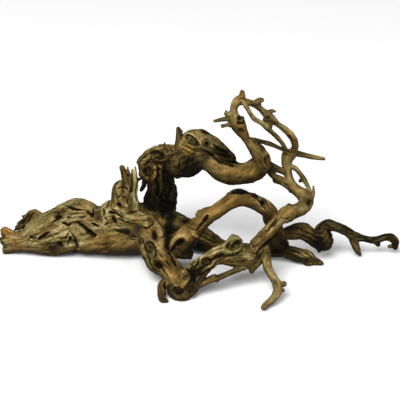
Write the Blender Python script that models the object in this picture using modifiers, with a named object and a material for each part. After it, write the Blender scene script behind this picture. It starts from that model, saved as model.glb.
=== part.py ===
"""A branch of grapewood: one grown piece of dead vine, lying on its trunk, a knuckle and a low strand.

The limbs are drawn on a sheet that looks at the branch from the front and from above, by hand,
and each point of the drawing also has its depth from front to back. All sizes come from there.
"""

import math

import bmesh
import bpy
import numpy as np
from mathutils import Vector, noise
from mathutils.bvhtree import BVHTree

NAME = "grapewood"

# The sheet that the limbs are drawn on
UNIT = 0.0015  # metres in one unit of the sheet
TILT = math.radians(25)  # the sheet's eye looks down by this angle
EYE = 1533.0  # units from the eye to the middle of the sheet
MIDDLE = (200.0, 200.0)  # the sheet's middle, across and down
FLOOR_LINE = 251.75  # down the sheet, where the floor lies at no depth

# The surface
VOXEL = 0.0018
SOFTENING = 2  # rounds of smoothing after the limbs are joined
TRIANGLES = 10900
COLOUR = (0.11, 0.075, 0.03, 1)
ROUGHNESS = 0.7

# Limbs as points (across, down, depth, radius) in units of the sheet
LIMBS = {
    # Trunk: a core with a ridge behind its top and a smooth strand along its front
    "trunk core": [
        (12, 241, 0, 9.6), (21, 241, 0, 9.8), (30, 238.5, 0, 12.4), (40, 234.5, 1, 17),
        (55, 231, 2, 21.5), (75, 228.5, 4, 23.5), (95, 229, 5, 23), (115, 229.5, 5, 23),
        (135, 231, 4, 22), (150, 230, 4, 18),
    ],
    "trunk ridge": [
        (29, 227, 6, 4), (45, 220.7, 8, 7), (60, 213.8, 8, 8.5), (70, 209.5, 8, 9.2),
        (80, 208.2, 8, 9.4), (88, 211.2, 8, 9), (96, 216, 8, 9), (104, 214.8, 8, 8.4),
        (112, 208.6, 8, 9.2), (130, 206, 8, 9),
    ],
    "trunk front": [
        (8, 248.2, -5, 4.6), (25, 245, -8, 6.2), (45, 246.4, -10, 8.4), (57, 246, -11, 9),
        (70, 243.5, -12, 9), (82, 243.2, -12, 9.6), (100, 241.6, -13, 12.4), (120, 241.4, -14, 13.6),
        (138, 240, -14, 14),
    ],
    "trunk end upper": [(6, 232, 2, 5), (14, 237, 2, 6), (28, 236, 2, 6)],
    "back left stub": [
        (56, 224, 14, 9), (42, 219.6, 19, 6.5), (34, 215.4, 22, 6.3), (28.4, 218.9, 25, 5.4),
        (24.4, 223.6, 27, 4.6), (18.8, 226.8, 30, 2.6),
    ],
    # Stubs on top of the trunk
    "low stub": [(121, 210, 6, 11), (119.5, 197, 5, 8), (118.4, 187, 4, 5.9), (119.4, 182.8, 4, 3.2)],
    "broad stub": [
        (128, 205, 4, 9), (128, 191, 3, 6.4), (127, 183, 3, 4.6), (124.7, 175, 2, 3.4),
        (122.7, 168, 2, 2.9),
    ],
    "splinter": [(131, 190, 4, 3.4), (130, 180, 2, 2.2), (128.6, 173, 2, 1.4), (127.6, 167.4, 2, 1)],
    "pale strand": [
        (134.8, 208, 2, 5.6), (133.6, 196, 0, 3.8), (135.3, 186, -1, 3), (135.3, 176, -2, 2.2),
        (134.6, 168.2, -2, 1.7),
    ],
    # Column up to the head
    "column": [
        (152, 226, 8, 16), (159.6, 214, 13, 15.2), (159.8, 202, 15, 15.8), (160.8, 191, 14, 13.8),
        (159.6, 178, 8, 12.7), (157, 166, 3, 14),
    ],
    "column hook": [
        (148.5, 176.5, 5, 3.4), (144.8, 180.6, 4, 1.8), (144.2, 185.4, 4, 1.5), (142, 190.8, 3, 1.1),
    ],
    "cross twig": [(135.5, 180, -1, 1.5), (141, 178.6, 1, 1.6), (148, 175, 2, 3)],
    # Head: a burl on the left, a bulge in the middle and a lump on top
    "burl": [
        (149.5, 170.5, 0, 10.8), (151.2, 164, 1, 13.5), (158, 159.6, 2, 13.3), (170, 157.7, 2, 13.6),
    ],
    "burl spike": [(164.3, 150, 1, 4), (164.6, 143.2, 0, 1)],
    "bulge": [
        (168, 161, 0, 13), (180, 163, -2, 14.6), (190.6, 160.4, -4, 14.3), (200, 157.5, -5, 10.8),
    ],
    "lump": [
        (184, 149, 2, 10.5), (191, 144, 2, 12.8), (200, 141.8, 2, 12.6), (209.4, 145.4, 3, 11.5),
        (218.4, 151.3, 6, 9.8), (228, 158, 9, 7.5),
    ],
    "top stub": [(180, 142.5, 1, 5), (179.6, 135, -1, 2.8), (178.6, 128.8, -2, 2.1)],
    "top stub prong": [(180, 134, -1, 2), (181.8, 131, -1, 1)],
    # Arch out of the head to the riser
    "arch": [
        (192, 157.5, -4, 11.6), (205, 160.1, -7, 9), (215.7, 167.5, -9, 9.2), (223, 172.6, -10, 10),
        (232, 174.3, -10, 10.1), (243, 174, -11, 10), (253.7, 170.8, -12, 10.5),
        (260.8, 164.2, -13, 9.7), (261.2, 157, -14, 8.6), (256.7, 150.2, -15, 7.9),
        (248.9, 142.5, -17, 6.7), (242.7, 133, -19, 6.3), (237.6, 123, -20, 7.4),
        (234.2, 115, -20, 4.9), (233.7, 107, -20, 4), (235.8, 101.6, -20, 4.8), (241.8, 97.4, -20, 3.6),
        (242, 91.8, -20, 2.7),
    ],
    "riser left spur": [(231, 119.4, -20, 3.4), (223.4, 118.8, -21, 2.3), (215.4, 120.4, -21, 1.6)],
    "riser low spur": [(233, 124, -20, 4), (227, 125.3, -22, 2.1), (222.9, 125.7, -22, 1.8)],
    "riser high spur": [(232, 114.5, -20, 3.8), (227, 112.4, -21, 2.4), (225.8, 109.8, -21, 1.2)],
    "riser knot stub": [(237, 121, -22, 4.5), (240.8, 120.2, -24, 3)],
    "riser back strip": [(229, 162.5, 8, 5), (238, 167, 6, 4.4), (247, 167, 3, 4.6), (255, 162, -2, 5)],
    # Canes from the top of the riser to the right
    "upper cane": [
        (236, 101.5, -20, 4), (246, 102, -19, 3), (253, 103.8, -18, 3), (260.4, 109.2, -16, 3),
        (268.2, 116.8, -14, 4.8), (276.8, 123.2, -11, 3.3), (284.6, 129, -8, 3.3), (291, 135, -5, 3.6),
        (294.6, 141.3, -3, 3.8), (294.9, 148, -1, 3.5), (290.5, 155, 0, 5.6),
    ],
    "upper cane spur": [(253, 104, -18, 3), (258.6, 101, -18, 2.8), (261.4, 100, -18, 2.3)],
    "upper cane hook": [(268, 113.2, -14, 3), (272, 110.9, -14, 1.7), (275.2, 111.6, -13, 1.1)],
    "middle cane": [
        (241, 99, -21, 2.6), (245.5, 105, -23, 2), (250.9, 113.5, -24, 2.1), (256, 119.5, -23, 2.3),
        (263, 124, -20, 2.5), (269.6, 129.4, -17, 2.6), (276.8, 136.4, -13, 2.3),
        (283.1, 144.4, -8, 2.3), (287, 153, -3, 3),
    ],
    "cane web": [(266, 120, -15, 3.5), (270, 126, -16, 2.6)],
    "straight twig": [
        (253, 140.5, -14, 3.2), (262, 141.6, -11, 2.4), (270, 144, -8, 2.2), (280, 148.2, -4, 2.2),
        (290, 151.8, -1, 2.8), (301, 154.2, 2, 2.3), (312, 156.6, 5, 2), (324, 158.6, 8, 1.7),
    ],
    # Right limb down from the joint of the canes, and the links to it
    "right limb": [
        (287.8, 155.5, 0, 6.4), (286.5, 163, -2, 5), (287.8, 171, -5, 4.1), (289.3, 179, -8, 4.2),
        (292.3, 185.6, -11, 4.7), (297, 190.6, -14, 5.3), (303.4, 195.6, -18, 6.9),
        (306, 201.8, -22, 7.2), (301.2, 208.4, -28, 6.8), (294.4, 211.4, -34, 6.9),
        (287, 214, -41, 7.9), (280, 219, -47, 6.3), (271.8, 227.6, -54, 5.8), (264, 235.6, -60, 6.1),
        (258, 244.5, -66, 8),
    ],
    "right stub": [(295, 189.5, -13, 4), (284, 184, -10, 3.2), (275.6, 180.4, -8, 2.5)],
    "limb buds": [(291, 187, -11, 3), (290.4, 191.4, -12, 1.4)],
    "limb shoulder": [(291, 209.5, -36, 5), (288, 206.4, -38, 3)],
    "right hook": [(308.5, 198, -18, 3.5), (313, 192, -18, 1.9), (313.2, 185.8, -17, 1.1)],
    "side twig": [
        (288, 166, -3, 2.4), (294.6, 167.4, -5, 2.1), (298.8, 171.3, -6, 2.1), (303.4, 178.6, -9, 2),
        (307.6, 186.4, -13, 2.1), (309.8, 193, -17, 3),
    ],
    "side twig bud": [(302.6, 178, -9, 1.7), (300.2, 181, -9, 1.3)],
    "dark link": [
        (262, 165, -10, 7), (271, 166.8, -7, 4.7), (279, 170.4, -5, 3.1), (286.5, 174, -5, 3),
    ],
    "low link": [
        (267, 169, -9, 5), (273.6, 175.5, -8, 3.3), (280, 180.4, -9, 3.2), (288, 184, -10, 3.4),
    ],
    # Middle arch, from the front branch over to the strands at the back
    "middle arch": [
        (166, 246, -44, 9), (181, 243, -52, 11.4), (193, 231, -56, 10), (204.4, 218, -57, 8.8),
        (215, 212.1, -57, 7.2), (226.2, 204.3, -56, 7.4), (237.2, 198.3, -54, 8),
        (249, 199.9, -50, 7.2), (260.8, 205, -45, 7.5), (269.4, 211.6, -39, 8),
        (273.8, 220.6, -33, 8.2), (281, 230.2, -29, 6.2), (290, 231.6, -26, 6.8),
        (303, 231.2, -22, 8.8), (312, 237.7, -20, 7.7),
    ],
    "arch lip": [(187, 253.3, -53, 6), (177, 252, -55, 6.6), (171, 248.6, -54, 5.4)],
    "arch corner": [(204, 216, -57, 5.4), (198.8, 211.8, -57, 3)],
    "arch spike": [(246, 197, -54, 3), (246.5, 191.7, -54, 1)],
    # Front branch down to the knuckle, and the gnarled branch back up to the fork
    "front branch": [
        (142, 229, -4, 19), (149.5, 237, -20, 16.3), (153.6, 247, -36, 13.6), (157.6, 257, -54, 12.6),
        (164.6, 265, -70, 11.6), (172.6, 274.5, -84, 10.6), (177.6, 283, -93, 12.2),
        (181, 288.2, -96.5, 13.3),
    ],
    "front branch left": [
        (148.5, 247, -38, 9), (153.4, 258, -56, 9.6), (158.6, 265.8, -70, 8.6), (165, 272.5, -82, 7),
    ],
    "front shoulder": [(164, 248, -44, 10), (169.5, 260, -65, 6.8), (176.5, 271.5, -84, 8)],
    "hook stub": [
        (168, 279, -88, 4.6), (162.8, 284.2, -95, 4.2), (161, 291.6, -101.5, 3.9),
        (162.3, 298.8, -107.5, 3.3), (166, 300.3, -109, 2),
    ],
    "gnarled branch": [
        (183, 287, -96.5, 12.8), (192, 275.3, -94, 10.8), (203.3, 264.4, -90, 9),
        (215.4, 256.2, -85, 7.9), (228, 253.4, -78, 11), (240, 256.4, -73, 12), (251, 257, -70, 11.6),
        (259, 249.5, -67, 10),
    ],
    "knot knob": [(231.4, 250, -79, 9), (234.8, 242.4, -81, 8.6)],
    "belly stub": [(248, 263, -75, 6.4), (252.2, 270.4, -78, 2.4)],
    "under twig": [
        (194, 287, -98, 4), (204, 282.4, -95, 3.4), (213, 278.2, -92, 3.2), (218, 277.2, -90.5, 3.1),
        (230, 272.4, -86, 2.6), (244, 267.2, -78, 3),
    ],
    "front twig": [
        (264, 248, -67, 6), (266.6, 258.6, -75, 4), (268.9, 268.6, -84, 4.1), (273.7, 277, -93, 4.2),
        (277.9, 285, -101, 4.7), (277.6, 291.5, -108, 4.4), (272.8, 298.4, -115, 4),
        (267, 303.8, -121, 3.5), (263.8, 307, -125, 2.8),
    ],
    "front twig knob": [(278, 284.6, -102, 3), (284.2, 284.4, -101, 2.5)],
    "front twig bud": [(278, 290, -107, 3), (283.2, 290.2, -106, 1.6)],
    # Strands at the back, low on the floor and curling out to the right
    "back limb": [
        (148, 226, 2, 18), (165, 223.2, 5, 15), (180, 230.4, 4, 13.2), (195, 237, 0, 14.2),
        (208, 242.4, -5, 11), (222, 248, -10, 7.4), (238, 249, -14, 6.6), (255, 250, -18, 6.5),
        (270, 250.2, -20, 6.6), (285, 250.9, -22.5, 6.4), (298, 254.7, -27, 6.9), (308, 257.9, -28, 7.5),
        (313.6, 260.4, -29.5, 4.7), (320.4, 262.7, -31.5, 2.2),
    ],
    "strand web": [(271, 232, -34, 7), (276, 239, -29, 7.8), (283.4, 245, -24, 5.6)],
    "curl": [(311, 236.5, -20, 8), (322.8, 241, -20, 9.5), (325.4, 236.5, -19, 7)],
    "far cane": [
        (316, 237, -18, 6.4), (320.6, 230, -16, 5.6), (327, 225.4, -14, 5.7), (336, 226.8, -13, 4.4),
        (345.5, 230.4, -12, 4.4), (354, 235.6, -11, 4), (364, 238.5, -10, 2.9), (375, 240, -9, 2.9),
        (385, 237.4, -8, 2.9), (391.4, 237.4, -8, 3.2), (395.4, 241.6, -8, 3.1),
        (395.4, 246.2, -8, 2.4),
    ],
    "far cane spur": [(394, 246, -8, 2), (389.6, 247, -8, 1.7)],
    "down twig": [
        (351, 235, -11, 4), (354.8, 243.6, -13, 3.3), (357.6, 250.4, -15, 2.9), (360, 254.4, -15, 1.3),
    ],
    "far bud": [(374.6, 241.4, -9, 2.5), (378, 243.8, -9, 1.9)],
}

# Hollows in the front: (across, down) of one end, of the other end, radius and depth
HOLLOWS = {
    "trunk slot": (75.5, 223, 94.5, 237.5, 2.8, 5),
    "trunk mouth": (56.5, 218.5, 61.5, 213.5, 2.8, 5),
    "trunk slit": (32, 238, 44, 234.5, 2.2, 3),
    "trunk pit left": (69, 217, 71.5, 216.5, 2.2, 3),
    "trunk pit right": (82, 216.5, 85, 217.5, 2.2, 3),
    "trunk star": (91, 214, 93.5, 217, 2.6, 4),
    "waist slot": (112.5, 216, 116, 223.5, 2.4, 5),
    "waist pit": (104.5, 211, 106, 221, 2.2, 3),
    "side slot": (123, 230.5, 137, 238.5, 2.6, 4),
    "branch hole": (153.4, 232.5, 155, 239.5, 3.2, 6),
    "branch pit": (149, 245, 150.5, 249.5, 3.4, 5),
    "branch low hole": (155.5, 263.5, 161, 266.5, 3.4, 6),
    "open end": (176, 245.5, 183, 242, 4.4, 9),
    "knuckle knot": (177, 290, 178, 290.5, 4.6, 3),
    "gnarl knot": (206.5, 263.5, 208, 262.5, 3.4, 4),
    "gnarl crack": (192, 270.5, 221, 255.5, 1.8, 3),
    "knob hole": (234, 243, 236.5, 243.5, 3.4, 5),
    "arch knot": (261.5, 203.5, 265, 204.5, 2.6, 3),
    "lump eye": (187, 141.5, 196, 139.5, 4, 2.6),
    "lump knot": (205.5, 143, 207, 144, 3, 3),
    "lump top hole": (203.5, 132.5, 206.5, 132.5, 2.6, 3),
    "lump seam": (203, 150.5, 232, 166.5, 2.2, 5),
    "burl eye": (147.5, 168.5, 149, 169.5, 3.6, 4),
    "burl pit": (155, 151.5, 162, 152.5, 2.8, 3),
    "riser knot": (266.6, 157.5, 267.4, 160.5, 2.6, 2.4),
    "elbow hole": (308.5, 202, 309.5, 204.5, 2.4, 4),
}

END_ANGLES = (0.5, 1.0, 1.4)  # radians round a limb's end, where it closes like a ball

# Flutes: ridges that run along a limb and turn slowly round it
FLUTE_HEIGHT = 0.085  # share of a limb's radius
FLUTE_LEAN = 0.22  # units that a flute moves sideways in each unit along its limb
MANY_FLUTES = 5  # round a limb
MANY_SHARE = 0.55  # of the height
FEW_FLUTES = 3  # round a limb, under the many
FEW_SHARE = 0.45
FEW_DRIFT = 0.05  # radians that the few turn in each unit along a limb
LIMB_TURN = 1.7  # radians between the flutes of one limb and those of the next
LIMB_REACH = 8.0  # units from a limb's skin, past which it raises nothing
LIMB_BLEND = 1.2  # units over which the flutes of two limbs change over
WIDE_LIMB = 12.0  # units, the radius from which limbs count the same where they meet

# Low lumps all over
LUMP_HEIGHT = 0.0011
LUMP_SIZE = 0.020

HOLLOW_SPREAD = 1.3  # how far a hollow's slopes reach, as a share of its radius
FACES_AWAY = 0.2  # skin that faces this far from the eye, or further, isn't pressed in


def on_sheet(across, down, depth):
    """The place, in units with the floor at height 0, and how much larger things are drawn there."""
    right = across - MIDDLE[0]
    up = MIDDLE[1] - down
    reach = EYE * math.cos(TILT)
    share = (depth + reach) / (reach + up * math.sin(TILT))
    middle_height = (FLOOR_LINE - MIDDLE[1]) / math.cos(TILT)
    height = middle_height + EYE * math.sin(TILT) + share * (up * math.cos(TILT) - EYE * math.sin(TILT))
    return np.array([right * share, depth, height]), share


def smooth_route(rows, steps=6):
    """Points (x, y, z, radius) on a smooth line through a limb's own points."""
    knots = []
    for across, down, depth, radius in rows:
        place, share = on_sheet(across, down, depth)
        knots.append([*place, radius * share])
    knots = np.array(knots)
    padded = np.vstack([2 * knots[0] - knots[1], knots, 2 * knots[-1] - knots[-2]])
    route = []
    for start in range(1, len(padded) - 2):
        before, here, after, beyond = padded[start - 1:start + 3]
        for t in np.linspace(0, 1, steps, endpoint=False):
            route.append(0.5 * (2 * here + (after - before) * t
                                + (2 * before - 5 * here + 4 * after - beyond) * t ** 2
                                + (3 * here - before - 3 * after + beyond) * t ** 3))
    route.append(knots[-1])
    return np.vstack([round_end(route[0], route[1])[::-1], route, round_end(route[-1], route[-2])])


def round_end(end, before):
    """Three more points past the end of a route, whose radii close it like a ball."""
    outward = end[:3] - before[:3]
    outward /= np.linalg.norm(outward)
    points = []
    for angle in END_ANGLES:
        place = end[:3] + outward * end[3] * math.sin(angle)
        points.append([*place, end[3] * math.cos(angle)])
    return np.array(points)


def tube(route):
    """A closed round tube with the radius of each point, as a mesh."""
    curve = bpy.data.curves.new("tube", "CURVE")
    curve.dimensions = "3D"
    curve.bevel_depth = UNIT
    curve.bevel_resolution = 5
    curve.use_fill_caps = True
    spline = curve.splines.new("POLY")
    spline.points.add(len(route) - 1)
    for point, (x, y, z, radius) in zip(spline.points, route):
        point.co = (x * UNIT, y * UNIT, z * UNIT, 1)
        point.radius = radius
    guide = bpy.data.objects.new("tube", curve)
    bpy.context.scene.collection.objects.link(guide)
    graph = bpy.context.evaluated_depsgraph_get()
    mesh = bpy.data.meshes.new_from_object(guide.evaluated_get(graph))
    bpy.data.objects.remove(guide)
    return mesh


def joined(meshes, name):
    """One object that holds all the meshes, their caps welded."""
    work = bmesh.new()
    for mesh in meshes:
        work.from_mesh(mesh)
        bpy.data.meshes.remove(mesh)
    bmesh.ops.remove_doubles(work, verts=work.verts, dist=0.00001)
    whole = bpy.data.meshes.new(name)
    work.to_mesh(whole)
    work.free()
    return bpy.data.objects.new(name, whole)


def apply_modifiers(obj):
    """Replaces the object's mesh with the one that its modifiers make."""
    graph = bpy.context.evaluated_depsgraph_get()
    mesh = bpy.data.meshes.new_from_object(obj.evaluated_get(graph))
    obj.modifiers.clear()
    obj.data = mesh


def get_points(mesh):
    flat = np.empty(len(mesh.vertices) * 3)
    mesh.vertices.foreach_get("co", flat)
    return flat.reshape(-1, 3)


def get_normals(mesh):
    flat = np.empty(len(mesh.vertices) * 3)
    mesh.vertex_normals.foreach_get("vector", flat)
    return flat.reshape(-1, 3)


def frames_along(route):
    """Directions along a route, and a side direction at each point that doesn't turn round it."""
    along = np.gradient(route[:, :3], axis=0)
    along /= np.linalg.norm(along, axis=1)[:, None]
    side = np.zeros_like(along)
    current = np.cross(along[0], (0.0, 1.0, 0.3))
    for index, direction in enumerate(along):
        current = current - direction * current.dot(direction)
        current /= np.linalg.norm(current)
        side[index] = current
    return along, side


def flute_height(points, routes):
    """How far the flutes raise each point, in units, blended where limbs meet."""
    total = np.zeros(len(points))
    weights = np.full(len(points), 1e-9)
    for number, route in enumerate(routes):
        along, side = frames_along(route)
        length = np.concatenate([[0], np.cumsum(np.linalg.norm(np.diff(route[:, :3], axis=0), axis=1))])
        reach = route[:, 3].max() + LIMB_REACH
        low, high = route[:, :3].min(axis=0) - reach, route[:, :3].max(axis=0) + reach
        near = np.flatnonzero(((points > low) & (points < high)).all(axis=1))
        close = points[near]
        apart = np.linalg.norm(close[:, None, :] - route[None, :, :3], axis=2)
        nearest = np.argmin(apart - route[None, :, 3], axis=1)
        spare = apart[np.arange(len(close)), nearest] - route[nearest, 3]
        radius = route[nearest, 3]
        offset = close - route[nearest, :3]
        ahead = (offset * along[nearest]).sum(1)
        other = np.cross(along[nearest], side[nearest])
        angle = np.arctan2((offset * other).sum(1), (offset * side[nearest]).sum(1))
        run = length[nearest] + ahead
        turned = angle + FLUTE_LEAN * run / route[:, 3].mean() + LIMB_TURN * number
        flutes = MANY_SHARE * np.sin(MANY_FLUTES * turned)
        flutes += FEW_SHARE * np.sin(FEW_FLUTES * turned + FEW_DRIFT * run + number)
        weight = np.exp(-np.maximum(spare, -3) / LIMB_BLEND) * np.minimum(radius, WIDE_LIMB)
        total[near] += weight * flutes * radius * FLUTE_HEIGHT
        weights[near] += weight
    return total / weights


def press_hollows(mesh):
    """Presses each hollow of the table into the side that faces the sheet's eye."""
    points = get_points(mesh) / UNIT
    normals = get_normals(mesh)
    tree = BVHTree.FromPolygons(points.tolist(), [polygon.vertices[:] for polygon in mesh.polygons])
    ahead = np.array([0, math.cos(TILT), -math.sin(TILT)])
    eye = np.array([0, 0, (FLOOR_LINE - MIDDLE[1]) / math.cos(TILT)]) - ahead * EYE
    for across, down, last_across, last_down, radius, depth in HOLLOWS.values():
        push = np.zeros(len(points))
        for share in np.linspace(0, 1, 2 + int(math.hypot(last_across - across, last_down - down))):
            aim, _ = on_sheet(across + (last_across - across) * share, down + (last_down - down) * share, 0)
            hit = tree.ray_cast(eye.tolist(), (aim - eye).tolist())[0]
            apart = np.linalg.norm(points - np.array(hit), axis=1)
            push = np.maximum(push, 1 - (apart / (radius * HOLLOW_SPREAD)) ** 2)
        push *= normals @ ahead < FACES_AWAY
        points += ahead * (push * depth)[:, None]
    mesh.vertices.foreach_set("co", (points * UNIT).ravel())
    mesh.update()


def settle(mesh):
    """Cuts the underside level at the floor and centres the mesh's box over the origin."""
    work = bmesh.new()
    work.from_mesh(mesh)
    cut = bmesh.ops.bisect_plane(
        work, geom=work.verts[:] + work.edges[:] + work.faces[:], plane_co=(0, 0, 0), plane_no=(0, 0, 1),
        clear_inner=True)
    rim = [edge for edge in cut["geom_cut"] if isinstance(edge, bmesh.types.BMEdge)]
    bmesh.ops.holes_fill(work, edges=rim, sides=0)
    bmesh.ops.triangulate(work, faces=[face for face in work.faces if len(face.verts) > 3])
    low = [min(vertex.co[axis] for vertex in work.verts) for axis in range(2)]
    high = [max(vertex.co[axis] for vertex in work.verts) for axis in range(2)]
    shift = Vector((-(low[0] + high[0]) / 2, -(low[1] + high[1]) / 2, 0))
    bmesh.ops.translate(work, verts=work.verts, vec=shift)
    work.to_mesh(mesh)
    work.free()


def main():
    for obj in list(bpy.data.objects):
        bpy.data.objects.remove(obj, do_unlink=True)
    parts = bpy.data.collections.new(NAME)
    bpy.context.scene.collection.children.link(parts)

    routes = [smooth_route(rows) for rows in LIMBS.values()]
    wood = joined([tube(route) for route in routes], NAME)
    parts.objects.link(wood)
    remesh = wood.modifiers.new("one skin", "REMESH")
    remesh.mode = "VOXEL"
    remesh.voxel_size = VOXEL
    smooth = wood.modifiers.new("soften", "SMOOTH")
    smooth.factor = 0.5
    smooth.iterations = SOFTENING
    apply_modifiers(wood)

    points = get_points(wood.data)
    normals = get_normals(wood.data)
    raised = flute_height(points / UNIT, routes) * UNIT
    lumps = np.array([noise.noise(Vector(point) / LUMP_SIZE) for point in points]) * LUMP_HEIGHT
    points += normals * (raised + lumps)[:, None]
    wood.data.vertices.foreach_set("co", points.ravel())
    wood.data.update()
    press_hollows(wood.data)

    thin = wood.modifiers.new("fewer faces", "DECIMATE")
    wood.data.calc_loop_triangles()
    thin.ratio = TRIANGLES / len(wood.data.loop_triangles)
    apply_modifiers(wood)

    settle(wood.data)
    for polygon in wood.data.polygons:
        polygon.use_smooth = True

    material = bpy.data.materials.new("wood")
    material.use_nodes = True
    shader = material.node_tree.nodes["Principled BSDF"]
    shader.inputs["Base Color"].default_value = COLOUR
    shader.inputs["Roughness"].default_value = ROUGHNESS
    shader.inputs["Metallic"].default_value = 0
    wood.data.materials.append(material)


if __name__ == "__main__":
    main()
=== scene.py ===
# Grapewood branch, dressed: the limbs are grown again with a fine skin, which is then carved with
# strands, cracks, knots and holes, and gets one wood material: weathered grain, with painted shade and
# some painted light in its colour.
import math

import bpy
import numpy as np
from mathutils import Matrix, Vector
from mathutils.bvhtree import BVHTree


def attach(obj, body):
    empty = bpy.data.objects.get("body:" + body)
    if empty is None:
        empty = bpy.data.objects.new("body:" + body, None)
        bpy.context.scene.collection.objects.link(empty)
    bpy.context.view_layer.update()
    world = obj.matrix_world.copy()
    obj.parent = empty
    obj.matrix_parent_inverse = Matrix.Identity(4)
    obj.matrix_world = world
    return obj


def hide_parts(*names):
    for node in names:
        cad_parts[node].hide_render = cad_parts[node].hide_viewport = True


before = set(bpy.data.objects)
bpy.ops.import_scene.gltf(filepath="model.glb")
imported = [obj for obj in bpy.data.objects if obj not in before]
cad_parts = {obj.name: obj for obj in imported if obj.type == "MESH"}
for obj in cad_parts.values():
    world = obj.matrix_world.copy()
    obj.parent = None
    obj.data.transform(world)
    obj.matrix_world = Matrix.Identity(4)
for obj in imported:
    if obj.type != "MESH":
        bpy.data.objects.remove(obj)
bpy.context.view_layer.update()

# The sheet that the limbs are drawn on. It looks at the branch from the front and from above.
sheet = {
    "unit": 0.0015,  # metres in one unit
    "tilt": math.radians(25),
    "eye": 1533.0,  # units from the eye to the sheet's middle
    "middle": (200.0, 200.0),
    "floorLine": 251.75,  # where the floor lies at no depth
    "shift": (0.001056, 0.071271, 0.0),  # metres from the sheet's own zero to the branch's middle
}

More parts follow.
